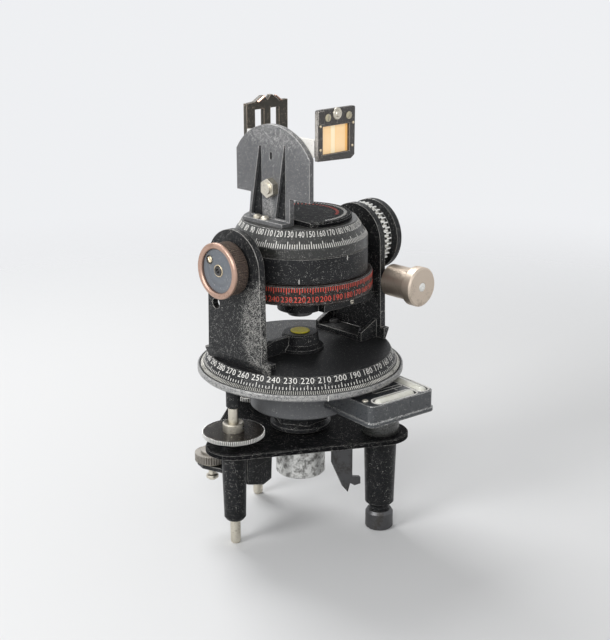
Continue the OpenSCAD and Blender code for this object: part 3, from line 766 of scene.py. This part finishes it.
    def screw(self, name: str, radius: float, height: float) -> Piece:
        """A slotted screw head with a rounded top, standing on z = 0."""
        head = self.lathe(name, [
            (0, -0.1), (radius, -0.1), (radius, height * 0.45), (radius * 0.85, height * 0.8),
            (radius * 0.5, height), (0, height),
        ], 24)
        half, reach = radius * 0.16, radius * 1.2
        slot = self.block("slot", (-reach, -half, height * 0.4), (reach, half, height * 2), 0.01)
        return self.cut(head, slot)

    def move(self, piece: Piece, place: Matrix) -> Piece:
        """Moves a piece's mesh from the origin to its place."""
        piece.matrix_world = place
        self.only(piece)
        bpy.ops.object.transform_apply(location=True, rotation=True, scale=True)
        return piece

    def array(self, name: str, parts: Sequence[tuple[Piece, Matrix]]) -> Piece:
        """Copies models to their places, joins the copies and discards the models.

        Args:
            name: the joined piece's name.
            parts: each copy's model and place.

        Returns:
            The joined piece.
        """
        self.clear()
        for model, place in parts:
            copy = bpy.data.objects.new(name, model.data.copy())
            bpy.context.scene.collection.objects.link(copy)
            copy.data.transform(place)
            copy.select_set(True)
            bpy.context.view_layer.objects.active = copy
        bpy.ops.object.join()
        piece = bpy.context.object
        for model in {model for model, _ in parts}:
            bpy.data.objects.remove(model)
        piece.name = piece.data.name = name
        return piece

    def digits(self, width: float, height: float, thickness: float) -> dict[str, Piece]:
        """Models the ten figures, each centred in the XY plane.

        Args:
            width: the width of the zero.
            height: the height of every figure.
            thickness: how thick they are.

        Returns:
            Each figure's piece.
        """
        made = {}
        across = 1.0
        for figure in "0123456789":
            self.clear()
            bpy.ops.object.text_add()
            text = bpy.context.object
            text.data.body = figure
            text.data.extrude = 0.5
            text.data.resolution_u = 3
            bpy.ops.object.convert(target="MESH")
            piece = bpy.context.object
            if figure == "0":
                across = width * MM / piece.dimensions.x
            corners = [Vector(c) for c in piece.bound_box]
            middle = (corners[0] + corners[6]) / 2
            scale = (across, height * MM / piece.dimensions.y, thickness * MM)
            piece.data.transform(Matrix.Diagonal((*scale, 1.0)) @ Matrix.Translation(-middle))
            self.edit()
            made[figure] = self.tidy(piece, "figure")
        return made


class Shop:
    """Dresses finished pieces, hangs them on their bodies and reports them."""

    def __init__(self) -> None:
        """Starts with nothing mixed."""
        self.bench = Bench()
        self._made: dict[Finish, bpy.types.Material] = {}

    def dress(self, piece: Piece, finish: Finish) -> None:
        """Gives a piece one finish all over. Its material is built the first time."""
        if finish not in self._made:
            self._made[finish] = finish.value.material(finish.name.lower())
        piece.data.materials.clear()
        piece.data.materials.append(self._made[finish])
        for face in piece.data.polygons:
            face.material_index = 0

    def fit(self, piece: Piece, body: Body, finish: Finish, *stands_for: str) -> None:
        """Finishes a new piece.

        Args:
            piece: the piece, in its place.
            body: the body that it moves with.
            finish: its finish.
            stands_for: CAD nodes that it replaces.
        """
        self.dress(piece, finish)
        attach(piece, body.value)
        if stands_for:
            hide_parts(*stands_for)
        LOG.info("%s on %s, %d faces", piece.name, body.value, len(piece.data.polygons))


@dataclass
class Scale:
    """A ring of marks and numbers on a cone or cylinder round the Z axis, in millimetres."""

    name: str
    body: Body
    finish: Finish
    zero: float
    sense: int
    rise: Pair
    mark_at: Pair
    mark_way: int
    number_at: Pair
    long: float
    short: float
    mark_width: float
    digit_height: float
    digit_width: float
    pitch: float
    step: int = 2
    relief: float = 0.1

    def place(self, value: int, radius: float, height: float, along: float = 0.0) -> Matrix:
        """The place of a reading, or of a spot at some distance along the scale from it."""
        turn = self.zero + self.sense * value + math.degrees(along / radius)
        return on_cone(turn, radius, height, self.rise)

    def marks(self, bench: Bench) -> Piece:
        """One mark every few degrees, longer at the tens."""
        half, deep = self.mark_width / 2, self.relief / 2
        models = {}
        for length in (self.long, self.short):
            low, high = sorted((0.0, self.mark_way * length))
            models[length] = bench.block("mark", (-half, low, -deep), (half, high, deep), deep * 0.4)
        lengths = {value: self.short if value % 10 else self.long for value in range(0, 360, self.step)}
        parts = [(models[length], self.place(value, *self.mark_at)) for value, length in lengths.items()]
        return bench.array(f"{self.name}_marks", parts)

    def numbers(self, bench: Bench) -> Piece:
        """The tens in figures."""
        models = bench.digits(self.digit_width, self.digit_height, self.relief)
        parts = []
        for value in range(0, 360, 10):
            for index, figure in enumerate(str(value)):
                along = (index - (len(str(value)) - 1) / 2) * self.pitch
                parts.append((models[figure], self.place(value, *self.number_at, along)))
        return bench.array(f"{self.name}_numbers", parts)

    def build(self, shop: Shop) -> None:
        """Makes both rings."""
        shop.fit(self.marks(shop.bench), self.body, self.finish)
        shop.fit(self.numbers(shop.bench), self.body, self.finish)


@dataclass
class BearingDial:
    """The dial under the yoke: its scale and the knurling round its edge."""

    ribs: int = 300
    knurl_low: Pair = (55.4, 66.2)
    knurl_high: Pair = (53.7, 67.8)
    rib_width: float = 0.5
    rib_relief: float = 0.2

    def knurl(self, bench: Bench) -> Piece:
        """Ribs across the chamfer under the scale."""
        low, high = Vector(self.knurl_low), Vector(self.knurl_high)
        half = (high - low).length / 2 - 0.08
        wide = self.rib_width / 2
        rib = bench.block("rib", (-wide, -half, -0.1), (wide, half, self.rib_relief), 0.12)
        slope = tuple((high - low).normalized())
        parts = [(rib, on_cone(360 * i / self.ribs, *(low + high) / 2, slope)) for i in range(self.ribs)]
        return bench.array("dial_knurl", parts)

    def build(self, shop: Shop) -> None:
        """Makes the scale and the knurling."""
        Scale(
            name="bearing", body=Body.AZIMUTH, finish=Finish.FIGURES, zero=90.0, sense=-1,
            rise=(-0.458, 0.889), mark_at=(53.5, 68.2), mark_way=1, number_at=(51.25, 72.5),
            long=2.5, short=1.4, mark_width=0.42, digit_height=3.1, digit_width=2.05, pitch=2.5,
        ).build(shop)
        shop.fit(self.knurl(shop.bench), Body.AZIMUTH, Finish.RIBS)


@dataclass
class Head:
    """The fixed ring's index and the level box's vials."""

    ring_r: float = 57.15
    index_angle: float = -119.5
    index_z: float = 64.2
    box_turn: float = -7.0
    box_x: float = 18.1
    box_top: float = 59.0
    vial_z: float = 57.4
    vial_r: float = 3.1
    vial_length: float = 27.0
    rim_width: float = 0.75
    vials: tuple[Point, ...] = ((-2.0, -61.6, 0.0), (17.4, -50.7, 90.0))
    lid_relief: float = 0.14
    outline_at: Point = (2.6, -50.2, 0.0)
    outline_length: float = 17.0
    outline_r: float = 1.25
    line_width: float = 0.4
    line_length: float = 4.4
    lines: tuple[Point, ...] = ((6.0, -52.6, 90.0), (1.0, -46.8, 60.0), (5.5, -45.9, 0.0))

    def on_box(self, x: float, y: float, turn: float, z: float) -> Matrix:
        """A place on the level box, in the box's own frame, turned there about Z."""
        box = Matrix.Rotation(math.radians(self.box_turn), 4, "Z")
        spot = Matrix.Translation(Vector((self.box_x + x, y, z)) * MM)
        return box @ spot @ Matrix.Rotation(math.radians(turn), 4, "Z")

    def vial_tubes(self, bench: Bench) -> Piece:
        """Two glass tubes with domed ends."""
        half, r = self.vial_length / 2, self.vial_r
        bends = [math.radians(a) for a in range(0, 91, 15)]
        dome = [(r * math.sin(a), -half + r - r * math.cos(a)) for a in bends]
        tube = bench.lathe("tube", dome + [(x, -z) for x, z in reversed(dome)], 32)
        lie = Matrix.Rotation(math.radians(90), 4, "Y")
        parts = [(tube, self.on_box(*vial, self.vial_z) @ lie) for vial in self.vials]
        return bench.array("vial_tubes", parts)

    def vial_rims(self, bench: Bench) -> Piece:
        """White rims round the two windows."""
        straight = self.vial_length - 2 * self.vial_r
        rim = bench.stadium_ring("rim", straight, self.vial_r + self.rim_width, self.rim_width, 0.35)
        top = self.box_top - 0.05
        return bench.array("vial_rims", [(rim, self.on_box(*vial, top)) for vial in self.vials])

    def diagram(self, bench: Bench) -> Piece:
        """A plain line figure of the two vials on the box's lid."""
        top = self.box_top - 0.02
        wide, high = self.line_width, self.lid_relief
        outline = bench.stadium_ring("outline", self.outline_length, self.outline_r, wide, high)
        end = (self.line_length / 2, wide / 2, high)
        line = bench.block("line", (-end[0], -end[1], 0.0), end, 0.02)
        parts = [(outline, self.on_box(*self.outline_at, top))]
        return bench.array("level_diagram", parts + [(line, self.on_box(*at, top)) for at in self.lines])

    def build(self, shop: Shop) -> None:
        """Makes the vials, their rims, the line figure and the mark that the bearing is read against."""
        bench = shop.bench
        shop.fit(self.vial_tubes(bench), Body.HEAD, Finish.GLASS, "level_vials")
        shop.fit(self.vial_rims(bench), Body.HEAD, Finish.FIGURES)
        shop.fit(self.diagram(bench), Body.HEAD, Finish.FIGURES)
        index = bench.block("fixed_index", (-0.3, -1.5, -0.1), (0.3, 1.3, 0.12), 0.05)
        bench.move(index, on_cone(self.index_angle, self.ring_r, self.index_z))
        shop.fit(index, Body.HEAD, Finish.FIGURES)


@dataclass
class Leveller:
    """A levelling wheel: a dark disc with a knurled rim and a pale collar with a set screw."""

    side: str
    body: Body
    x: float
    y: float
    disc_r: float = 16.75
    low_z: float = 32.9
    high_z: float = 35.5
    collar_r: float = 5.85
    collar_z: float = 40.3
    hole_r: float = 2.85
    boss_r: float = 5.2
    boss_z: float = 29.9
    ribs: int = 96
    rib_depth: float = 0.42
    chamfer: float = 0.3
    set_screw_angle: float = -70.0

    def disc(self, bench: Bench) -> Piece:
        """The dark disc with the boss under it."""
        r, hole, edge, top, low = self.disc_r, self.hole_r, self.chamfer, self.high_z, self.low_z
        return bench.lathe(f"wheel_disc_{self.side}", [
            (hole, top), (r - edge, top), (r, top - edge), (r, low + edge), (r - edge, low),
            (self.boss_r, low), (self.boss_r, self.boss_z + 0.4), (self.boss_r - 0.4, self.boss_z),
            (hole, self.boss_z), (hole, top),
        ], 96)

    def collar(self, bench: Bench) -> Piece:
        """The collar that clamps the disc to its screw, dished round the screw."""
        r, hole, base, top = self.collar_r, self.hole_r, self.high_z - 0.1, self.collar_z
        return bench.lathe(f"wheel_collar_{self.side}", [
            (hole, base), (r, base), (r, top - 0.5), (r - 0.5, top), (r - 1.3, top),
            (hole + 0.4, top - 0.9), (hole, top - 0.9), (hole, base),
        ], 48)

    def knurl(self, bench: Bench) -> Piece:
        """The ribs round the rim."""
        half, middle = (self.high_z - self.low_z) / 2 - 0.1, (self.high_z + self.low_z) / 2
        rib = bench.block("rib", (-0.3, -half, -0.2), (0.3, half, self.rib_depth), 0.14)
        parts = [(rib, on_cone(360 * i / self.ribs, self.disc_r, middle)) for i in range(self.ribs)]
        return bench.array(f"wheel_knurl_{self.side}", parts)

    def set_screw(self, bench: Bench) -> Piece:
        """The screw in the collar's side."""
        screw = bench.screw(f"wheel_set_screw_{self.side}", 1.1, 0.3)
        middle = (self.high_z + self.collar_z) / 2
        return bench.move(screw, on_cone(self.set_screw_angle, self.collar_r - 0.05, middle))

    def build(self, shop: Shop) -> None:
        """Makes the wheel."""
        bench = shop.bench
        for make, finish, nodes in (
            (self.disc, Finish.WHEEL_BLACK, [f"level_wheel_{self.side}"]),
            (self.knurl, Finish.BRIGHT, []),
            (self.collar, Finish.NICKEL, []),
            (self.set_screw, Finish.BLACK, []),
        ):
            place = Matrix.Translation(Vector((self.x, self.y, 0.0)) * MM)
            shop.fit(bench.move(make(bench), place), self.body, finish, *nodes)


@dataclass
class Drum:
    """The hour angle drum: its two scales and the index marks on its band and cap."""

    band_r: float = 37.0
    cap_top: float = 150.7
    band_marks: Profile = ((-91.9, 132.2), (-134.9, 121.8))
    white_arc: tuple[float, range] = (24.6, range(-100, 59, 4))
    red_arc: tuple[float, range] = (20.4, range(-60, 55, 6))
    # The black sheets in the plate's slots are painted shade: where they stand, how far in and how thick
    web_x: float = -17.4
    web_z: float = 150.0
    web_t: float = 0.8
    slots: tuple[Profile, ...] = (
        ((10.3, 188.4), (8.1, 188.6), (7.2, 150.2), (17.3, 150.2)),
        ((-8.8, 190.4), (-10.4, 190.6), (-10.3, 150.2), (-1.6, 150.2)),
    )

    def band_index(self, bench: Bench) -> Piece:
        """Two short marks on the band against which the scales are read."""
        mark = bench.block("mark", (-0.22, -1.2, -0.1), (0.22, 1.2, 0.1), 0.04)
        parts = [(mark, on_cone(angle, self.band_r, height)) for angle, height in self.band_marks]
        return bench.array("band_index", parts)

    def cap_marks(self, bench: Bench, name: str, radius: float, angles: range) -> Piece:
        """An arc of plain radial marks on the cap, at angles in degrees from +X."""
        mark = bench.block("mark", (-0.22, -0.8, -0.05), (0.22, 0.8, 0.07), 0.03)
        flat = (-1.0, 0.0)
        return bench.array(name, [(mark, on_cone(angle, radius, self.cap_top, flat)) for angle in angles])

    def web(self, bench: Bench, outline: Profile) -> Piece:
        """A black sheet across one slot of the declination plate, given as (y, z) points: painted shade for
        the dark seen through the slot.
        """
        web = bench.plate("slot_shade_sheet", [(-y, z - self.web_z) for y, z in outline], self.web_t, 0.1)
        return bench.move(web, seat((self.web_x, 0.0, self.web_z), (-1.0, 0.0, 0.0)))

    def build(self, shop: Shop) -> None:
        """Makes the scales, the marks and the black sheets of painted shade in the plate's slots."""
        bench = shop.bench
        # Painted shade: a black sheet fills each slot of the declination plate
        for outline in self.slots:
            shop.fit(self.web(bench, outline), Body.DRUM, Finish.BLACK)
        Scale(
            name="hour_upper", body=Body.DRUM, finish=Finish.FIGURES, zero=85.6, sense=1,
            rise=(-0.546, 0.838), mark_at=(36.7, 139.26), mark_way=1, number_at=(32.3, 146.0),
            long=4.0, short=2.5, mark_width=0.4, digit_height=3.3, digit_width=1.45, pitch=1.75,
        ).build(shop)
        Scale(
            name="hour_lower", body=Body.DRUM, finish=Finish.RED_FIGURES, zero=85.6, sense=-1,
            rise=(0.0, 1.0), mark_at=(39.6, 119.1), mark_way=-1, number_at=(39.6, 112.9),
            long=3.3, short=2.3, mark_width=0.45, digit_height=3.0, digit_width=1.75, pitch=2.15,
        ).build(shop)
        shop.fit(self.band_index(bench), Body.CRADLE, Finish.FIGURES)
        shop.fit(self.cap_marks(bench, "cap_white_marks", *self.white_arc), Body.DRUM, Finish.FIGURES)
        shop.fit(self.cap_marks(bench, "cap_red_marks", *self.red_arc), Body.DRUM, Finish.RED_FIGURES)


@dataclass
class HourKnob:
    """The face of the left knob: a turned slate disc with a ringed centre screw and a locking screw."""

    face_x: float = -57.9
    axis_z: float = 129.0
    face_r: float = 12.0
    lock_at: Pair = (6.9, 133.8)
    centre_turn: float = 35.0
    lock_turn: float = -50.0

    def build(self, shop: Shop) -> None:
        """Makes the face, the ring and the screws."""
        bench = shop.bench
        r = self.face_r
        face = bench.lathe("knob_face", [
            (0, -0.2), (r, -0.2), (r, 0.25), (r - 0.5, 0.4), (r - 1.1, 0.25), (8.9, 0.25), (8.7, 0.12),
            (8.4, 0.12), (8.2, 0.25), (5.0, 0.25), (4.7, 0.1), (4.2, 0.1), (3.9, 0.25), (0, 0.25),
        ], 64)
        ring = bench.lathe("knob_centre_ring", [
            (2.5, 0.0), (3.3, 0.0), (3.3, 0.45), (3.0, 0.6), (2.6, 0.45), (2.5, 0.0),
        ], 40)
        centre = bench.screw("knob_centre_screw", 2.3, 0.9)
        # Painted shade: the black well round the lock screw darkens its countersink where shade falls
        shaded_well = bench.lathe("knob_screw_shaded_well", [
            (1.5, 0.05), (2.2, 0.05), (2.5, 0.25), (2.5, 0.45), (2.0, 0.45), (1.5, 0.15), (1.5, 0.05),
        ], 32)
        lock = bench.screw("knob_lock_screw", 1.7, 0.5)
        axis = (0.0, self.axis_z)
        for piece, finish, (y, z), lift, turn in (
            (face, Finish.SLATE, axis, 0.0, 0.0),
            (ring, Finish.BRASS, axis, 0.2, 0.0),
            (centre, Finish.BRASS, axis, 0.2, self.centre_turn),
            (shaded_well, Finish.BLACK, self.lock_at, 0.1, 0.0),
            (lock, Finish.BRASS, self.lock_at, 0.15, self.lock_turn),
        ):
            place = seat((self.face_x - lift, y, z), (-1.0, 0.0, 0.0))
            bench.move(piece, place @ Matrix.Rotation(math.radians(turn), 4, "Z"))
            shop.fit(piece, Body.KNOB, finish)


@dataclass
class Yoke:
    """Small fittings in the yoke: the worm's end and the strut's screw."""

    worm_end: Point = (51.2, -43.9, 107.0)
    strut_screw: Point = (23.7, -16.6, 98.9)

    def build(self, shop: Shop) -> None:
        """Makes the fittings."""
        bench = shop.bench
        front = (0.0, -1.0, 0.0)
        end = bench.lathe("worm_end", [
            (0, 0), (2.5, 0), (2.5, 0.35), (2.1, 0.6), (0.7, 0.6), (0.4, 0.35), (0, 0.35),
        ], 32)
        shop.fit(bench.move(end, seat(self.worm_end, front)), Body.WORM, Finish.BRIGHT)
        strut = bench.screw("strut_screw", 1.6, 0.8)
        shop.fit(bench.move(strut, seat(self.strut_screw, front)), Body.CRADLE, Finish.NICKEL)


@dataclass
class Sight:
    """The sight's screen in its front frame with its screws, boss and pins, and the crest's edges."""

    front_y: float = -30.6
    depth: float = 2.4
    screen_y: float = -28.9
    screen_t: float = 0.7
    lap: float = 0.6
    base_z: float = 190.0
    outline: Profile = (
        (-16.6, 183.9), (7.6, 182.8), (10.3, 184.6), (10.6, 209.3), (9.9, 209.9), (-15.9, 209.9),
        (-16.6, 209.2),
    )
    window: Box = (-13.2, 186.9, 6.4, 201.3)
    strip: Box = (-16.4, 202.6, -12.2, 209.2)
    boss: Pair = (-3.0, 207.1)
    screws: tuple[Point, ...] = ((-9.5, 205.6, 80.0), (5.7, 205.4, 60.0))
    pins: Profile = ((-14.9, 201.7), (8.9, 201.4), (-14.9, 189.7), (8.3, 189.6))
    crest: tuple[Box, ...] = (
        (-10.4, 208.75, -5.6, 211.35), (2.3, 211.35, 6.8, 208.2),
    )
    crest_y: float = 20.85

    def on_front(self, x: float, z: float, turn: float = 0.0) -> Matrix:
        """A place on the frame's front, turned out of it and about its own axis."""
        return seat((x, self.front_y, z), (0.0, -1.0, 0.0)) @ Matrix.Rotation(math.radians(turn), 4, "Z")

    def surround(self, bench: Bench) -> Piece:
        """The frame with its window and the strip that stands up on its corner."""
        base, depth = self.base_z, self.depth
        plate = bench.plate("plate", [(x, z - base) for x, z in self.outline], depth, 0.3)
        x0, z0, x1, z1 = self.window
        bench.cut(plate, bench.block("window", (x0, z0 - base, -2.0), (x1, z1 - base, depth + 2.0), 0.01))
        x0, z0, x1, z1 = self.strip
        strip = bench.block("strip", (x0, z0 - base, depth - 0.3), (x1, z1 - base, depth + 0.25), 0.12)
        both = bench.array("screen_surround", [(plate, Matrix()), (strip, Matrix())])
        return bench.move(both, seat((0.0, self.front_y + depth, base), (0.0, -1.0, 0.0)))

    def screen(self, bench: Bench) -> Piece:
        """The screen behind the window."""
        x0, z0, x1, z1 = self.window
        low = (x0 - self.lap, self.screen_y, z0 - self.lap)
        high = (x1 + self.lap, self.screen_y + self.screen_t, z1 + self.lap)
        return bench.block("sight_pane", low, high, 0.15)

    def crest_edges(self, bench: Bench) -> Piece:
        """The rubbed edges of the rear frame's two points."""
        edges = []
        for x0, z0, x1, z1 in self.crest:
            run = Vector((x1 - x0, 0.0, z1 - z0))
            half = run.length / 2
            edge = bench.block("edge", (-half, -0.5, -0.8), (half, 0.12, 0.8), 0.1)
            middle = ((x0 + x1) / 2, self.crest_y, (z0 + z1) / 2)
            edges.append((edge, seat(middle, (0.0, -1.0, 0.0), (-run.z, 0.0, run.x))))
        return bench.array("crest_edges", edges)

    def build(self, shop: Shop) -> None:
        """Makes the frame, its screen and its fittings."""
        bench = shop.bench
        shop.fit(self.surround(bench), Body.SIGHT, Finish.SCREEN_FRAME, "screen_frame")
        shop.fit(self.screen(bench), Body.SIGHT, Finish.AMBER, "sight_screen")
        shop.fit(self.crest_edges(bench), Body.SIGHT, Finish.PINK_RIM)
        boss = bench.lathe("sight_boss", [
            (0, -0.2), (3.1, -0.2), (3.1, 0.5), (2.5, 0.9), (2.3, 0.7), (1.7, 0.8), (1.4, 1.5), (0, 1.6),
        ], 32)
        shop.fit(bench.move(boss, self.on_front(*self.boss)), Body.SIGHT, Finish.NICKEL)
        screw = bench.screw("screw", 2.0, 0.8)
        screws = bench.array("sight_screws", [(screw, self.on_front(*at)) for at in self.screws])
        shop.fit(screws, Body.SIGHT, Finish.CREAM)
        pin = bench.lathe("pin", [(0, -0.2), (0.7, -0.2), (0.7, 0.3), (0.45, 0.5), (0, 0.5)], 16)
        pins = bench.array("sight_pins", [(pin, self.on_front(*at)) for at in self.pins])
        shop.fit(pins, Body.SIGHT, Finish.BRASS)


@dataclass(frozen=True)
class Lamp:
    """A soft lamp round the object: where it hangs, its size and its power."""

    name: str
    azimuth: float
    elevation: float
    distance_mm: float
    side_mm: float
    watts: float


def direction(azimuth: float, elevation: float) -> Vector:
    """The way from the object to a viewer at an azimuth and elevation in degrees."""
    a, e = math.radians(azimuth), math.radians(elevation)
    return Vector((math.sin(a) * math.cos(e), -math.cos(a) * math.cos(e), math.sin(e)))


@dataclass
class Studio:
    """The pale floor, the soft lamps and the backdrop."""

    floor_r_mm: float = 1500.0
    aim_mm: Point = (0.0, 0.0, 80.0)
    lamps: tuple[Lamp, ...] = (
        Lamp("key", 168.0, 52.0, 1000.0, 450.0, 6.5),
        Lamp("fill", -95.0, 28.0, 1200.0, 450.0, 7.0),
        Lamp("front", -50.0, 30.0, 1300.0, 500.0, 4.5),
    )
    backdrop: Colour = (0.86, 0.87, 0.89)
    softer: Colour = (1.0, 1.0, 1.0)
    ambient: float = 0.32

    def floor(self, shop: Shop) -> None:
        """Lays the floor under the feet."""
        shop.bench.clear()
        ground = (0.0, 0.0, CAD_BOX[0].z)
        bpy.ops.mesh.primitive_circle_add(
            vertices=96, radius=self.floor_r_mm * MM, fill_type="NGON", location=ground
        )
        floor = bpy.context.object
        floor.name = "studio_floor"
        shop.dress(floor, Finish.FLOOR)

    def light(self) -> None:
        """Hangs the lamps."""
        for lamp in self.lamps:
            data = bpy.data.lights.new(lamp.name, "AREA")
            data.energy = lamp.watts
            data.size = lamp.side_mm * MM
            way = direction(lamp.azimuth, lamp.elevation)
            holder = bpy.data.objects.new(lamp.name, data)
            place = Matrix.Translation(Vector(self.aim_mm) * MM + way * lamp.distance_mm * MM)
            holder.matrix_world = place @ way.to_track_quat("Z", "Y").to_matrix().to_4x4()
            bpy.context.scene.collection.objects.link(holder)

    def world(self) -> None:
        """A pale backdrop for camera, glossy and transmission rays, and softer light for the rest."""
        world = bpy.data.worlds.new("studio")
        bpy.context.scene.world = world
        tree = Tree(world)
        path = tree.node("ShaderNodeLightPath").outputs
        seen = Value(tree, path["Is Camera Ray"])
        for ray in ("Is Glossy Ray", "Is Transmission Ray"):
            seen = seen.at_least(Value(tree, path[ray]))
        glows = [
            tree.node("ShaderNodeBackground", None, {"Color": (*colour, 1.0), "Strength": strength})
            for colour, strength in ((self.softer, self.ambient), (self.backdrop, 1.0))
        ]
        soft, pale = (glow.outputs[0] for glow in glows)
        mix = tree.node("ShaderNodeMixShader", None, {0: seen, 1: soft, 2: pale})
        tree.node("ShaderNodeOutputWorld", None, {"Surface": mix.outputs[0]})

    def build(self, shop: Shop) -> None:
        """Sets up the studio."""
        self.floor(shop)
        self.light()
        self.world()


@dataclass(frozen=True)
class Camera:
    """The photo's viewpoint: its direction, distance, focal length and the small turn of its frame."""

    azimuth: float = -44.44
    elevation: float = 17.39
    distance_mm: float = 718.75
    focal_px: float = 1300.0
    long_side_px: int = 640
    roll: float = -0.15
    aim_right_mm: float = 2.74
    aim_height_mm: float = 121.65
    sensor_mm: float = 36.0

    def build(self) -> None:
        """Adds the camera to the scene."""
        back = direction(self.azimuth, self.elevation)
        a = math.radians(self.azimuth)
        right = Vector((math.cos(a), math.sin(a), 0.0))
        aim = right * self.aim_right_mm * MM + Vector((0, 0, CAD_BOX[0].z + self.aim_height_mm * MM))
        data = bpy.data.cameras.new("photo_camera")
        data.sensor_width = self.sensor_mm
        data.lens = self.focal_px / self.long_side_px * self.sensor_mm
        camera = bpy.data.objects.new("photo_camera", data)
        turn = (-back).to_track_quat("-Z", "Y").to_matrix() @ Matrix.Rotation(math.radians(self.roll), 3, "Z")
        camera.matrix_world = Matrix.Translation(aim + back * self.distance_mm * MM) @ turn.to_4x4()
        bpy.context.scene.collection.objects.link(camera)
        bpy.context.scene.camera = camera


def main() -> None:
    """Builds the looks round the frame."""
    logging.basicConfig(level=logging.INFO, format="%(message)s")
    bpy.context.scene.view_settings.view_transform = "Standard"
    shop = Shop()
    slots = {}
    for finish in Finish:
        slots.setdefault(finish.value.slot, finish)
    for row in frame["record"]["subparts"]:
        finish = NODE_FINISH.get(row["node"], slots[row["material_slot"]])
        shop.dress(frame["nodes"][row["node"]], finish)
    levellers = (
        Leveller("front", Body.FRONT_LEVELLER, -45.11, 5.939),
        Leveller("back", Body.BACK_LEVELLER, 7.51, 44.876),
    )
    for assembly in (Head(), *levellers, BearingDial(), Drum(), HourKnob(), Yoke(), Sight()):
        assembly.build(shop)
    Studio().build(shop)
    Camera().build()


if __name__ == "__main__":
    main()
